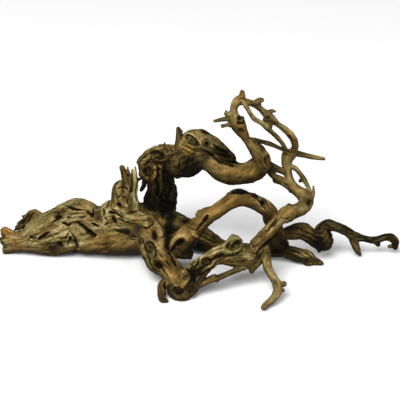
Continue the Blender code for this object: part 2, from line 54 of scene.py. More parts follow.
# Each limb's points: across, down, depth and radius, in units of the sheet
limbs = {
    # Trunk: a core with a ridge behind its top and a smooth strand along its front
    "trunk core": [
        (12, 241, 0, 9.6), (21, 241, 0, 9.8), (30, 238.5, 0, 12.4), (40, 234.5, 1, 17),
        (55, 231, 2, 21.5), (75, 228.5, 4, 23.5), (95, 229, 5, 23), (115, 229.5, 5, 23),
        (135, 231, 4, 22), (150, 230, 4, 18),
    ],
    "trunk ridge": [
        (29, 227, 6, 4), (45, 220.7, 8, 7), (60, 213.8, 8, 7.9), (70, 209.5, 8, 9.1),
        (80, 208.2, 8, 9.8), (88, 211, 8, 9.6), (96, 216, 8, 9), (104, 215, 8, 7.8), (112, 209.4, 8, 9),
        (130, 206, 8, 9),
    ],
    "trunk front": [
        (8, 248.4, -5, 5), (25, 245, -8, 6.2), (45, 246.4, -10, 8.4), (57, 246, -11, 9),
        (70, 243.5, -12, 9), (82, 243.2, -12, 9.6), (100, 241.2, -13, 12), (120, 240.8, -14, 13.2),
        (138, 239.4, -14, 13.6),
    ],
    "trunk end upper": [(6, 232, 2, 5), (14, 237, 2, 6), (28, 236, 2, 6)],
    "trunk end prong": [(14, 247, -4, 3), (8.6, 250.4, -5, 2), (5.4, 251.8, -5, 1)],
    "trunk end middle prong": [(10, 238, 3, 3.4), (4.4, 238.4, 2, 2), (2.2, 238, 2, 1)],
    "back left stub": [
        (56, 224, 14, 9), (42, 219.6, 19, 6.5), (34, 215.4, 22, 6.3), (28.4, 218.9, 25, 5.4),
        (24.4, 223.6, 27, 4.6), (18.8, 226.8, 30, 2.6),
    ],
    "stub shred low": [(26, 222, 26, 3), (20, 226.6, 29, 1.8), (14.8, 230, 31, 0.8)],
    "stub shred middle": [(25, 219.6, 25, 2.4), (20.4, 221.2, 27, 1.3), (17.2, 223, 28, 0.6)],
    "stub shred high": [(28, 216.4, 24, 2.6), (23.6, 216.2, 25, 1.2), (21.2, 216, 26, 0.6)],
    # Stubs on top of the trunk
    "low stub": [(121, 210, 6, 11), (119.5, 197, 5, 8), (118.6, 187.4, 4, 5.5), (120, 183.4, 4, 3.1)],
    "broad stub": [
        (128, 205, 4, 9), (128, 191, 3, 6.4), (127, 183, 3, 4.6), (124.9, 175, 2, 3.2),
        (122.5, 168.3, 2, 2.8),
    ],
    "splinter": [(131, 190, 4, 3.4), (130.4, 180, 2, 2.1), (129.2, 174, 2, 1.3), (127.6, 167.4, 2, 1)],
    "pale strand": [
        (134.8, 208, 2, 5.6), (133.6, 196, 0, 3.8), (135.3, 186, -1, 3), (135.2, 176, -2, 2.1),
        (134.9, 168.4, -2, 1.7),
    ],
    "pale strand left": [(133.4, 187, 0, 2.2), (132.2, 178, 0, 1.2), (132, 170, 0, 1)],
    "column foot": [(134, 211.8, 5, 7.2), (140.6, 209.4, 7, 6.8), (150, 208.4, 9, 6)],
    # Column up to the head
    "column": [
        (152, 226, 8, 16), (158.2, 214, 13, 15.4), (159.8, 201, 15, 16.2), (162.1, 192.4, 14, 14.7),
        (161.4, 185.6, 11, 13.2), (160.6, 179, 8, 13.8), (157, 166, 3, 14),
    ],
    "column hook": [
        (148.5, 176.5, 5, 3.4), (144.6, 180.6, 4, 2.4), (143.9, 185.4, 4, 2.2), (141.2, 190.2, 3, 1.8),
    ],
    "cross twig": [(135.5, 180, -1, 1.7), (140.6, 179, 1, 1.9), (148, 175, 2, 3)],
    # Head: a burl on the left, a bulge in the middle and a lump on top
    "burl": [(149.7, 171, 0, 11.1), (151.5, 164, 1, 13.1), (158, 159.6, 2, 13.7), (170, 157.7, 2, 14.5)],
    "burl spike": [(164.3, 150, 1, 4), (164.6, 143.2, 0, 1)],
    "bulge": [(168, 161, 0, 13), (180, 163, -2, 14.9), (190.6, 160.6, -4, 14.7), (200, 157.5, -5, 10.8)],
    "lump": [
        (184, 149, 2, 10.5), (191, 144, 2, 13.2), (200, 141.8, 2, 12.4), (209.4, 145.6, 3, 11.3),
        (218.4, 151.3, 6, 9.8), (228, 158, 9, 7.5),
    ],
    "top stub": [(180, 142.5, 1, 5), (179.2, 135, -1, 3), (178.3, 129, -2, 2.3)],
    "top stub prong": [(180, 134, -1, 2), (181.6, 131, -1, 1.3)],
    # Arch out of the head to the riser
    "arch": [
        (192, 157.5, -4, 11.6), (205, 160.1, -7, 9), (215.7, 167.5, -9, 9.2), (223, 172.6, -10, 10),
        (232, 174.4, -10, 10.6), (243, 174, -11, 10.4), (253.9, 171, -12, 10.7),
        (260.8, 164.2, -13, 9.7), (260.9, 157.4, -14, 8.3), (255.2, 150.2, -15, 6),
        (250.4, 145, -16.4, 4.5), (246.7, 140, -17.4, 3.8), (244.1, 135, -18.2, 4.6),
        (240.8, 130, -19, 6.2), (237.6, 123, -20, 7.4), (234.3, 115, -20, 4.6), (234.2, 107, -20, 3.8),
        (236.9, 102, -20, 4.7), (241.8, 97.4, -20, 3.6), (242.4, 93.3, -20, 2.5),
    ],
    "riser left spur": [(231, 118.8, -20, 2.8), (223.4, 119.3, -21, 2), (215.8, 120.9, -21, 1.7)],
    "riser low spur": [(233, 124, -20, 4), (227, 125.1, -22, 1.7), (223, 125.9, -22, 1.9)],
    "riser high spur": [(232, 114.5, -20, 3.8), (226.8, 113, -21, 1.6), (225.9, 110.6, -21, 0.9)],
    "riser middle spur": [(230, 116.6, -20, 2.8), (224.8, 113.6, -21, 1.1)],
    "riser knot stub": [(237, 121, -22, 4.5), (241, 119, -24, 3)],
    "riser flap": [
        (255, 146.6, -13, 3), (259.4, 145.8, -12, 2), (262.6, 148.4, -12, 1.8), (264.8, 152, -12, 1.6),
    ],
    "riser back strip": [(229, 162.5, 8, 5), (238, 167, 6, 4.4), (247, 167, 3, 4.6), (255, 162, -2, 5)],
    # Canes from the top of the riser to the right
    "upper cane": [
        (236, 101.5, -20, 4), (246, 101.8, -19, 3.3), (253, 103.8, -18, 3), (260.8, 108.9, -16, 2.8),
        (268.8, 116.4, -14, 4.5), (276.4, 123.2, -11, 3.1), (284.4, 129.1, -8, 3.1),
        (290.9, 135.2, -5, 3.5), (294.5, 141.4, -3, 3.6), (294.8, 148, -1, 3.5), (290.5, 155, 0, 5.6),
    ],
    "upper cane spur": [(253, 104, -18, 3), (258.6, 101, -18, 2.8), (261.2, 100.2, -18, 2.2)],
    "upper cane low spur": [(255, 104, -18, 2.4), (260, 104.4, -18, 1.4)],
    "upper cane hook": [(268, 113.2, -14, 3), (272, 110.9, -14, 1.9), (275.2, 111.6, -13, 1.1)],
    "middle cane": [
        (241, 99, -21, 2.6), (245.4, 105, -23, 2.4), (250.4, 113.4, -24, 2.1), (254.7, 119.1, -23, 2.6),
        (262.6, 123.8, -20, 2.3), (269.4, 129.8, -17, 2.4), (276.6, 136.9, -13, 2.2),
        (283, 144.6, -8, 2), (287, 153, -3, 3),
    ],
    "cane web": [(266, 120, -15, 3.5), (270, 126, -16, 2.6)],
    "straight twig": [
        (247, 139.4, -17, 2.6), (254, 140, -14, 2), (262, 141.6, -11, 1.9), (270, 143.9, -8, 2.3),
        (280, 148.2, -4, 1.8), (290, 151.8, -1, 2.8), (301, 154.4, 2, 2.7), (312, 156.9, 5, 2.4),
        (323.6, 158.8, 8, 1.8),
    ],
    # Right limb down from the joint of the canes, and the links to it
    "right limb": [
        (288, 155.5, 0, 6.2), (286.5, 163, -2, 5), (287.8, 171, -5, 4.1), (289.3, 179, -8, 4.2),
        (292.3, 185.6, -11, 4.7), (297, 190.6, -14, 5.3), (303.4, 195.6, -18, 6.9),
        (306, 201.8, -22, 7.2), (301.2, 208.4, -28, 6.8), (294.4, 211.4, -34, 6.9),
        (287.4, 214, -41, 8.1), (280, 219, -47, 6.3), (271.8, 227.6, -54, 5.8), (264, 235.6, -60, 6.1),
        (258, 244.5, -66, 8),
    ],
    "right stub": [(295, 189.5, -13, 4), (284, 183.6, -10, 2.7), (275.6, 180.4, -8, 2.5)],
    "limb buds": [(291, 187, -11, 3), (290.4, 191.4, -12, 1.4)],
    "limb shoulder": [(291, 209.5, -36, 5), (289.4, 206.2, -38, 3.1)],
    "right hook": [(309.2, 199.4, -18, 3.9), (313.3, 193, -18, 1.6), (313.4, 186.2, -17, 1)],
    "side twig": [
        (288, 166, -3, 2.4), (294.2, 167.8, -5, 2.4), (298.4, 171.5, -6, 2.2), (303.4, 178.4, -9, 2.4),
        (307.8, 186, -13, 2.1), (309.8, 191.6, -16, 2), (309.6, 195, -17, 2.6),
    ],
    "side twig bud": [(302.6, 178, -9, 1.7), (300.2, 181, -9, 1.6)],
    "dark link": [(262, 165, -10, 7), (271, 166.8, -7, 4.7), (279.6, 170, -5, 3), (287, 173.4, -5, 3.2)],
    "low link": [
        (268, 168.4, -9, 4.2), (273.8, 175.8, -8, 2.9), (281.4, 179.8, -9, 3.5), (288, 184, -10, 3.4),
    ],
    # Middle arch, from the front branch over to the strands at the back
    "middle arch": [
        (166, 246, -44, 9), (181, 243, -52, 11.4), (193, 231, -56, 10), (204.4, 218, -57, 8.8),
        (215, 212.1, -57, 7.2), (226.2, 204.4, -56, 7.7), (237.4, 198.5, -54, 8.4), (249, 200, -50, 7.5),
        (260.8, 205, -45, 7.5), (268.8, 211.2, -39, 7.8), (272.2, 220.8, -33, 8.3), (281, 234, -29, 5.2),
        (290, 232.6, -26, 7.1), (302.6, 231.2, -22, 8.7), (312, 238, -20, 7),
    ],
    "arch lip": [(187, 253.3, -53, 6), (177, 252, -55, 6.6), (171, 248.6, -54, 5.4)],
    "arch corner": [(206, 217, -57, 8.6), (202, 214.8, -57, 4.2)],
    "arch spike": [(246, 197, -54, 3), (246.5, 191.7, -54, 1)],
    "arch bark": [
        (229, 195, -54, 2.6), (234, 192.6, -54, 3), (240, 191.6, -54, 2.8), (245, 192.4, -54, 2),
    ],
    "arch far bark": [(249, 194.4, -51, 2), (254.6, 196, -49, 2.2), (259, 198.6, -46, 1.6)],
    # Front branch down to the knuckle, and the gnarled branch back up to the fork
    "front branch": [
        (142, 229, -4, 19), (149.5, 237, -20, 16.3), (153.6, 247, -36, 13.6), (157.6, 257, -54, 12.6),
        (164.6, 265, -70, 11.6), (173, 274.5, -84, 10), (177.6, 283, -93, 12.2),
        (181, 288.6, -96.5, 13.4),
    ],
    "front branch left": [
        (148.5, 247, -38, 9), (153, 258.6, -56, 9.4), (158, 265.4, -69, 9.2), (167, 270.4, -81, 5.6),
    ],
    "front shoulder": [(164, 248, -44, 10), (169.5, 260, -65, 6.8), (176.5, 271.5, -84, 8)],
    "knuckle side": [(181, 287.6, -96.5, 12.4), (188.4, 288, -97, 9.8)],
    "hook stub": [
        (169, 280, -88, 4.2), (162.8, 284.2, -95, 4.2), (161.4, 292, -101.5, 3.9),
        (162.6, 298.8, -107.5, 3.5), (166, 300.6, -109, 2.1),
    ],
    "gnarled branch": [
        (183, 287, -96.5, 12.8), (193, 275.5, -94, 11.2), (203.9, 265, -90, 9), (215.8, 256.8, -85, 8.4),
        (228.4, 254.4, -78, 11.8), (241.4, 256, -73, 12.3), (251, 257, -70, 11.6), (259, 249.5, -67, 10),
    ],
    "knot knob": [(232.6, 250, -79, 11), (233.8, 243.9, -81, 9)],
    "belly stub": [(251.6, 261, -75, 6.4), (251.6, 270.6, -78, 2.2)],
    "belly fin": [(259.6, 254, -70, 4.6), (256.4, 262, -74, 3.4), (252.4, 269.4, -78, 2.2)],
    "crotch web": [(180, 273, -88, 6.4), (189, 273, -92, 6)],
    "under twig": [
        (194, 287, -98, 4), (204, 282.4, -95, 3.4), (213.8, 278.2, -92, 4), (218, 277.8, -90.5, 3.2),
        (230, 272.7, -86, 2.8), (244, 267.2, -78, 3),
    ],
    "front twig": [
        (264, 248, -67, 6), (266.8, 259.4, -76, 4.5), (268.1, 268.6, -84, 4.5), (272.8, 277.2, -93, 3.9),
        (277.5, 285, -101, 4.7), (277.2, 291.5, -108, 4.4), (273.2, 298.4, -115, 4.1),
        (267, 303.8, -121, 3.5), (263.8, 307, -125, 2.8),
    ],
    "front twig knob": [(278, 284.6, -102, 3), (283.9, 284, -101, 2.8)],
    "front twig bud": [(278, 290, -107, 3), (283.2, 290.2, -106, 1.6)],
    # Strands at the back, low on the floor and curling out to the right
    "back limb": [
        (148, 226, 2, 18), (165, 223.2, 5, 15), (180, 229.2, 4, 14.4), (189, 233.2, 2, 15),
        (196, 236.4, 0, 13.3), (208, 241.5, -5, 10.7), (222, 247.8, -10, 7.7), (238, 249, -14, 6.6),
        (255, 250, -18, 6.5), (270, 250.2, -20, 6.6), (285, 250.9, -22.5, 6.4), (298, 254.7, -27, 6.9),
        (308, 257.9, -28, 7.5), (313.6, 260.4, -29.5, 4.7), (320.4, 262.7, -31.5, 2.2),
    ],
    "strand web": [(270.4, 232.4, -34, 8), (274.6, 239.4, -30, 8.6), (283, 244.6, -25, 6)],
    "curl": [(311, 236.5, -20, 8), (323, 241.4, -20, 9.9), (325.4, 236.5, -19, 7)],
    "far cane": [
        (316, 237, -18, 6.4), (320.6, 230, -16, 5.6), (327, 225.5, -14, 6.1), (336, 226.8, -13, 4.8),
        (345.5, 230.6, -12, 4.8), (354, 235.8, -11, 4.7), (364, 238.4, -10, 3.4), (375, 240.2, -9, 3.5),
        (385, 237.4, -8, 3.4), (391.2, 237.6, -8, 4.1), (395.4, 241.8, -8, 3.9), (395.2, 246.6, -8, 3),
    ],
    "far cane spur": [(394, 246, -8, 2), (389.6, 246.4, -8, 2.2)],
    "down twig": [
        (351, 235, -11, 4), (354.8, 243.6, -13, 3.9), (357.4, 250.4, -15, 3.3), (360, 254.4, -15, 1.5),
    ],
    "far bud": [(374.6, 241.4, -9, 2.5), (378, 244.1, -9, 2.5)],
}

# Each limb's strand height as a share, its lightness from 0 to 1 and its warmth from -1 to 1. The
# lightness is the wood's own tone, and for limbs at the back and in shelter, such as the column, its
# foot and hook, the riser back strip, the dark link, the arch lip, the back limb, the strand web, the
# curl and the far cane, it is also set low as painted shade.
dress = {
    "trunk core": (1, 0.575, 0), "trunk ridge": (0.9, 0.6, 0.15), "trunk front": (0.7, 0.58, 0.4),
    "trunk end upper": (0.8, 0.56, 0.6), "back left stub": (1.2, 0.49, 0.3),
    "stub shred low": (1.2, 0.2, 0.2), "stub shred middle": (1.2, 0.22, 0.3),
    "stub shred high": (1.2, 0.3, 0.3), "trunk end prong": (1, 0.5, 0.2),
    "trunk end middle prong": (1, 0.5, 0.4), "low stub": (1.2, 0.54, 0.1),
    "broad stub": (1.2, 0.46, 0.3), "splinter": (1, 0.45, 0), "pale strand": (0.9, 1.2, -0.5),
    "pale strand left": (0.8, 0.4, 0), "column": (1.1, 0.03, -0.4), "column foot": (1, 0.12, -0.2),
    "column hook": (0.5, 0.02, 0), "cross twig": (0.8, 0.22, 0), "burl": (1.9, 0.38, 0.4),
    "burl spike": (1, 0.35, 0.1), "bulge": (0.8, 0.22, 0.1), "lump": (0.7, 0.53, 0.2),
    "top stub": (0.8, 0.35, 0), "arch": (0.3, 0.58, 0.35), "riser left spur": (0.6, 0.38, 0),
    "riser low spur": (0.6, 0.4, 0), "riser back strip": (0.6, 0.05, -0.3),
    "upper cane": (1.1, 0.63, 0.3), "middle cane": (1.1, 0.65, 0.1), "straight twig": (0.6, 0.46, 0.2),
    "right limb": (0.5, 0.63, 0.2), "side twig": (0.5, 0.54, 0), "dark link": (0.5, 0.22, 0),
    "low link": (0.5, 0.46, 0), "middle arch": (0.25, 0.55, 0.5), "arch lip": (0.9, 0.26, -0.3),
    "arch bark": (1.6, 0.14, 0), "arch far bark": (1.6, 0.14, 0), "arch spike": (1, 0.2, 0),
    "front branch": (0.6, 0.62, 0.35), "front branch left": (0.8, 0.5, 0.1),
    "front shoulder": (0.5, 0.48, 0.1), "hook stub": (0.9, 0.41, 0.4), "gnarled branch": (1.6, 0.54, 0),
    "knot knob": (0.4, 0.6, -0.3), "belly stub": (0.6, 0.5, 0.4), "belly fin": (0.6, 0.46, 0.3),
    "crotch web": (0.8, 0.4, 0), "under twig": (0.6, 0.4, 0.1), "front twig": (0.6, 0.58, 0.15),
    "back limb": (1.1, 0.38, 0), "strand web": (0.9, 0.27, 0.5), "curl": (1.1, 0.18, 0),
    "far cane": (1.1, 0.21, 0.1), "down twig": (0.6, 0.36, 0.1),
}
plainDress = (0.6, 0.5, 0)  # for the limbs that aren't named there

# How far the splinters of a limb's broken ends reach, at its start and at its end
brokenEnds = {
    "trunk core": (3, 0), "trunk front": (2.6, 0), "trunk end upper": (2, 0), "back left stub": (0, 4),
    "low stub": (0, 1.4), "broad stub": (0, 1.2), "splinter": (0, 1), "pale strand": (0, 2.2),
    "top stub": (0, 1.2), "lump": (0, 1.6), "arch": (0, 1.6), "riser left spur": (0, 1.6),
    "riser low spur": (0, 1), "upper cane spur": (0, 1.4), "right stub": (0, 1.2),
    "straight twig": (0, 0.5), "back limb": (0, 1.4), "far cane": (0, 1.4), "down twig": (0, 1),
    "belly stub": (0, 1.8), "hook stub": (0, 1.2), "arch corner": (0, 1.2),
}

# Cracks on the side that the sheet shows: depth, then points across and down with half widths
cracks = {
    "hollow floor": (0.9, [(127, 234, 0.4), (131, 236, 0.9), (135.4, 236.8, 0.9), (139, 236, 0.5)]),
    "hollow floor two": (1, [(129, 238.6, 0.4), (132.6, 239.4, 0.8), (137, 240.2, 0.4)]),
    "slit over the branch": (1.4, [
        (142.6, 226.2, 0.4), (146, 227.4, 0.9), (148.6, 227, 1), (152.6, 224.6, 0.8),
        (153.4, 221.6, 0.4),
    ]),
    "crotch strand line": (1.3, [(163, 209.6, 0.4), (163.6, 214, 0.8), (162.6, 219.6, 0.5)]),
    "knob rim line": (1.1, [(227, 250, 0.3), (227.6, 244.6, 0.6), (230.6, 240.6, 0.4)]),
    "knob foot line": (1.3, [(223.6, 257, 0.5), (229.6, 255.6, 1), (236.4, 254.4, 0.8), (242, 251, 0.4)]),
    "column low curve": (1.4, [(160, 196, 0.4), (164, 202, 0.9), (170, 205, 0.6)]),
    "column inner line": (1.2, [(167, 178, 0.3), (170, 184, 0.7), (171, 191, 0.4)]),
    "back limb line": (1.2, [(196, 233, 0.4), (205, 238, 0.8), (217, 244, 0.5)]),
    "back limb second line": (1, [(186, 226, 0.4), (196, 231, 0.7), (206, 235, 0.4)]),
    "back limb low line": (1, [(200, 244, 0.4), (208, 246.6, 0.7), (218, 249, 0.4)]),
    "front low curl": (1.1, [(154.6, 259.6, 0.3), (156.6, 261.2, 0.7), (162, 262, 0.5)]),
    "front low side": (1.2, [(165.6, 258.6, 0.3), (168, 262.6, 0.7), (170.4, 267.4, 0.5)]),
    "front long line": (0.9, [(156, 246, 0.3), (160, 254, 0.6), (165.6, 261.6, 0.5), (173, 270, 0.3)]),
    "gnarled foot line": (1.4, [(198.6, 275.4, 0.4), (204, 272.6, 0.8), (210, 269.4, 0.5)]),
    "gnarled edge line": (1.2, [(201, 263.4, 0.4), (203, 259.6, 0.7), (208.6, 257.8, 0.4)]),
    "cane joint fold": (1.1, [(262.6, 119.6, 0.3), (266, 121.6, 0.7), (271, 121, 0.5)]),
    "cane under line": (0.9, [(252, 120.6, 0.4), (259, 125.4, 0.7), (268, 131.4, 0.4)]),
    "cane low fold": (1, [(283, 149.4, 0.4), (288, 151.6, 0.8), (294.6, 152.6, 0.4)]),
    "riser crown line": (0.9, [(238, 100.6, 0.3), (241.6, 98.4, 0.7), (246.6, 100.4, 0.4)]),
    "knobs line one": (1.1, [(139.6, 215, 0.3), (143, 215.6, 0.7), (148, 214.6, 0.5)]),
    "knobs line three": (1, [(146, 217.6, 0.3), (148.6, 219.4, 0.6), (149.4, 222, 0.4)]),
    "middle arch knot side": (1.2, [(256.6, 198.6, 0.3), (260.4, 204, 0.7), (265.6, 209.4, 0.5)]),
    "middle arch knot far side": (1.2, [(261, 197.8, 0.3), (266, 202, 0.7), (269.6, 208.6, 0.6)]),
    "arch bark tear": (1.4, [(230.6, 193.6, 0.4), (235, 192.8, 1), (241, 193.6, 1), (246, 193.2, 0.5)]),
    "arch far bark tear": (1.3, [(249.6, 196, 0.4), (254, 196.8, 0.9), (259, 200.4, 0.5)]),
    "cane line one": (0.9, [(250, 103.6, 0.3), (257, 107.6, 0.7), (264, 114, 0.5)]),
    "cane line two": (0.9, [(272, 121.4, 0.3), (280, 127.4, 0.7), (288, 134.6, 0.6), (291.6, 142, 0.3)]),
    "cane line three": (0.8, [(246.6, 108, 0.3), (251, 115.6, 0.6), (258, 121.6, 0.5), (266, 127, 0.3)]),
    "cane line four": (0.8, [(268, 130, 0.3), (275, 136.4, 0.6), (282, 144, 0.4)]),
    "stub under seam": (1.4, [(29.6, 212.6, 0.4), (27, 217.6, 0.9), (22, 223.6, 0.8)]),
    "stub side seam": (1.2, [(35, 211.6, 0.3), (31.6, 215.6, 0.7), (28.4, 221.6, 0.7)]),
    "pale strand line": (1, [(137.4, 178, 0.3), (136.8, 186, 0.6), (135.4, 194, 0.7), (136.6, 202, 0.4)]),
    "pale strand low line": (0.9, [(132.4, 196, 0.3), (131.8, 201, 0.6), (133, 207, 0.4)]),
    "knuckle under line": (1, [(174, 298.6, 0.3), (180, 299.4, 0.8), (187, 297.6, 0.4)]),
    "column seam one": (1.6, [
        (163.4, 162, 0.4), (164.6, 170, 0.9), (163, 178, 0.9), (165, 187, 0.8), (162, 196, 0.4),
    ]),
    "column seam two": (1.6, [(158, 172, 0.4), (156.4, 181, 0.9), (158.6, 188, 0.9), (157, 196, 0.5)]),
    "column seam three": (1.4, [(168.4, 176, 0.4), (167, 184, 0.8), (169.4, 192, 0.9), (167, 200, 0.5)]),
    "column seam four": (1.4, [(150.6, 183, 0.5), (152, 190, 0.8), (150.6, 198, 0.8)]),
    "column curve": (1.2, [(150, 192, 0.5), (153, 195.6, 0.8), (157, 194, 0.5)]),
    "crotch line": (2.2, [(186.4, 268.6, 0.6), (190, 272, 1.2), (193, 277, 1.4), (195, 283, 0.7)]),
    "knob fold": (1.2, [(229.6, 244.6, 0.4), (231.4, 247, 0.8), (230.6, 250.4, 0.6)]),
    "burl stand line": (1.3, [(158.6, 165.6, 0.5), (158, 171, 0.8), (159.4, 177, 0.6)]),
    "burl low weave": (1, [(143, 177.6, 0.4), (147, 175.6, 0.8), (151, 177.8, 0.4)]),
    "burl spike base": (1.2, [(163.6, 144, 0.3), (166, 148, 0.8), (169, 151.6, 0.5)]),
    # Left end of the trunk
    "slanting groove": (2.4, [
        (50.5, 231.4, 0.4), (46, 233.8, 1.1), (43, 235.8, 1.3), (39.6, 238.6, 0.9),
    ]),
    "pair of pits left": (1.4, [(31, 236.6, 0.9), (33, 237, 0.9)]),
    "pair of pits right": (1.4, [(34.2, 238.2, 0.8), (36, 237.2, 0.8)]),
    "tail above the eye": (1.2, [(58.2, 211, 0.3), (58.8, 215, 0.9)]),
    "tail below the eye": (1.2, [(57, 219.6, 1.2), (54, 221.4, 0.8), (51.4, 223.4, 0.4)]),
    "low line": (0.8, [(10, 246.6, 0.3), (24, 247.4, 0.6), (40, 247.6, 0.3)]),
    "middle line": (0.7, [(12, 238.6, 0.3), (24, 239.6, 0.5), (36, 241.6, 0.5), (46, 240.6, 0.3)]),
    "upper line": (0.7, [(14, 234.6, 0.3), (20, 236.6, 0.6), (27, 236.4, 0.3)]),
    "bottom crack": (0.9, [(42, 250, 0.4), (46, 250.2, 0.8), (50, 251, 0.4)]),
    # Top bump of the trunk
    "bump top dash": (0.9, [(70.6, 204, 0.4), (73.4, 203.6, 0.7), (76.4, 203, 0.3)]),
    "bump top spot": (0.9, [(78, 202.8, 0.7), (80, 202.6, 0.7)]),
    "bump fold": (1.7, [
        (66.5, 206, 0.4), (70, 207.2, 0.8), (73.4, 209.2, 1.1), (78, 209.8, 0.7), (84, 209.4, 0.3),
    ]),
    "bump edge": (0.8, [(67, 202.6, 0.7), (72, 200.4, 0.6)]),
    "thin arc": (0.7, [(73, 215, 0.3), (75, 213.6, 0.5), (78, 212.6, 0.3)]),
    "short slot": (1.4, [(67.8, 217.2, 0.6), (70.4, 217.6, 0.8), (72.6, 217, 0.3)]),
    "green slot": (1.2, [(79, 216.6, 0.5), (82.6, 217, 1), (86, 216.8, 0.5)]),
    "star long arm": (2, [(86.6, 210.8, 0.4), (89.4, 213, 1), (92.4, 215.6, 1.3)]),
    "star upright arm": (1.4, [(94, 207.6, 0.3), (93.6, 211, 0.7), (93.2, 215, 0.9)]),
    "black slot": (2, [(91, 223, 0.4), (94.4, 224.4, 1.1), (97, 225.6, 1), (100.4, 226.4, 0.5)]),
    # Middle of the trunk
    "dark step": (2.2, [(61.6, 223, 0.3), (65, 223.6, 1), (67.8, 225, 1.1), (70.6, 223.8, 0.6)]),
    "step joint": (1, [(70, 223.6, 0.5), (74, 222, 0.6), (79, 223, 0.9)]),
    "long slot": (3.6, [
        (78, 222.4, 0.6), (82, 225, 1), (86.4, 228.8, 1.4), (91, 232.8, 1.8), (94.2, 235.4, 1.7),
    ]),
    "ray up": (1, [(70.6, 230, 0.6), (68, 234, 0.5), (66.4, 238, 0.7)]),
    "ray down": (1.2, [(70.4, 237, 1), (69, 241, 0.7), (67.8, 246, 0.4)]),
    "ray right": (1.5, [(71, 232, 0.3), (74, 236.6, 0.6), (76, 241, 0.8), (79, 245, 0.6)]),
    "ray low right": (1.5, [(73.6, 240.4, 0.6), (76, 244, 0.9), (77.6, 248, 0.8)]),
    "ray low": (0.9, [(71.6, 240, 0.4), (73.4, 245, 0.5), (74, 249, 0.3)]),
    "ray left": (1, [(58, 238, 0.3), (62, 238.4, 0.7), (65, 237.4, 1.2)]),
    "small hook": (0.8, [(62.4, 225.8, 0.4), (63.6, 227, 0.6), (65, 227.2, 0.3)]),
    "small dash": (0.8, [(56.8, 234.6, 0.5), (59.4, 234.4, 0.7)]),
    "small spot": (0.7, [(59, 229.6, 0.7), (60, 229.6, 0.7)]),
    "brown dash": (0.8, [(51, 236.8, 0.6), (53.2, 236.6, 0.8)]),
    "belly groove": (1, [(50, 244, 0.4), (56, 243.4, 0.7), (60, 243.4, 0.8)]),
    "short upright": (1, [(101.6, 218.6, 0.5), (102, 222.6, 0.8)]),
    # Knotty part under the stubs
    "shoulder crack": (1, [(110.4, 198.6, 0.3), (108.4, 204, 0.8), (106.8, 208, 0.4)]),
    "ridge inner crack": (1.3, [(103.4, 208.6, 0.4), (104.4, 212.6, 1), (103.8, 215.6, 0.5)]),
    "ear slot": (1.4, [(108.2, 222, 0.4), (106.8, 223.6, 1), (105, 225, 0.5)]),
    "wrinkle one": (1.6, [
        (110, 212.6, 0.5), (115, 212.8, 0.8), (119, 214.8, 0.9), (121.4, 217, 1), (124.4, 219, 0.4),
    ]),
    "wrinkle two": (1.3, [(118, 218.4, 0.4), (121.6, 220, 0.7), (125.4, 221.8, 0.8), (130, 222.8, 0.4)]),
    "wrinkle three": (0.9, [(123, 217.4, 0.3), (126.4, 218.8, 0.5), (129, 219.6, 0.3)]),
    "wrinkle four": (0.9, [(129, 219.8, 0.3), (134, 220.6, 0.6), (140.6, 221, 0.4)]),
    "wrinkle five": (0.9, [(130, 223.4, 0.3), (134, 223.6, 0.6), (138.6, 223, 0.3)]),
    "wrinkle six": (0.8, [(118, 227, 0.4), (121, 226.4, 0.6), (124, 226.6, 0.3)]),
    "wrinkle seven": (0.8, [(128, 213.8, 0.3), (132.6, 213.2, 0.6), (136.6, 211.4, 0.6)]),
    "wrinkle eight": (0.8, [(112, 209.6, 0.3), (116, 210.6, 0.6), (119.6, 210.6, 0.3)]),
    "hollow lid": (1.2, [(114.6, 229.8, 0.4), (118, 231, 0.8), (121, 231.6, 1)]),
    "lower spot": (0.7, [(106, 242.8, 0.5), (106.2, 245.6, 0.8)]),
    "lower dash": (0.6, [(93.4, 245.4, 0.3), (96.4, 245.6, 0.5)]),
    "lower dash two": (0.6, [(91.6, 242, 0.3), (93.6, 243, 0.5)]),
    "belly crack": (1, [(111, 251, 0.5), (115, 251.4, 0.9), (119, 251, 0.4)]),
    "knob ring low": (1, [(140.6, 219.6, 0.5), (144, 221, 0.7), (148.6, 220, 0.7), (151, 217.6, 0.4)]),
    # Stubs
    "broad stub left edge": (0.9, [(121, 170.4, 0.3), (122.6, 174, 0.7), (123.6, 177.6, 0.6)]),
    "broad stub right edge": (0.9, [(125, 167.4, 0.5), (125.8, 171, 0.6), (127, 175, 0.5)]),
    "broad stub spot": (1.2, [(127.4, 175.4, 0.8), (128.8, 175.6, 0.9)]),
    "stub wave": (1.2, [(117.6, 188.6, 0.6), (120, 187.8, 0.7), (123.6, 187, 0.7), (126.8, 188.8, 1.1)]),
    "stub seam": (1.8, [(132.6, 173.6, 0.4), (132.2, 180, 0.6), (132.4, 187, 0.8), (131, 192, 0.9)]),
    "stub second seam": (1, [(130.2, 185.6, 0.4), (130.4, 189, 0.7), (129.6, 191.6, 0.5)]),
    "stub dash": (1.1, [(117.6, 197.6, 0.4), (119.6, 197, 0.8), (121.6, 195.6, 0.7)]),
    "stub spot": (1, [(123.4, 196.6, 0.9), (124.6, 198, 0.9)]),
    "stub base shade": (1.2, [(127, 199.6, 0.6), (127.6, 203, 1.2)]),
    "stub grain": (0.7, [(125.4, 190, 0.3), (123.4, 193, 0.6), (119, 195.4, 0.4)]),
    "strand grain": (0.6, [(134.4, 176, 0.3), (134, 183, 0.4), (135, 190, 0.3)]),
    # Burl, bulge and lump
    "burl top arc": (1.8, [(150, 153.8, 0.5), (153, 152, 1.1), (157, 151.2, 1.2), (159.6, 152.4, 0.6)]),
    "burl wave": (1.4, [
        (143.6, 165.6, 0.8), (146, 163.2, 1.5), (149.6, 161, 0.9), (151.6, 158, 0.6), (151.8, 155, 0.4),
    ]),
    "burl second wave": (1.5, [
        (153, 161.6, 0.5), (155.4, 162.6, 1.1), (158, 163.2, 1.5), (161.4, 164.2, 1),
    ]),
    "burl dash": (1, [(153.6, 157.4, 0.4), (157, 157.6, 0.8), (160, 158.4, 0.5)]),
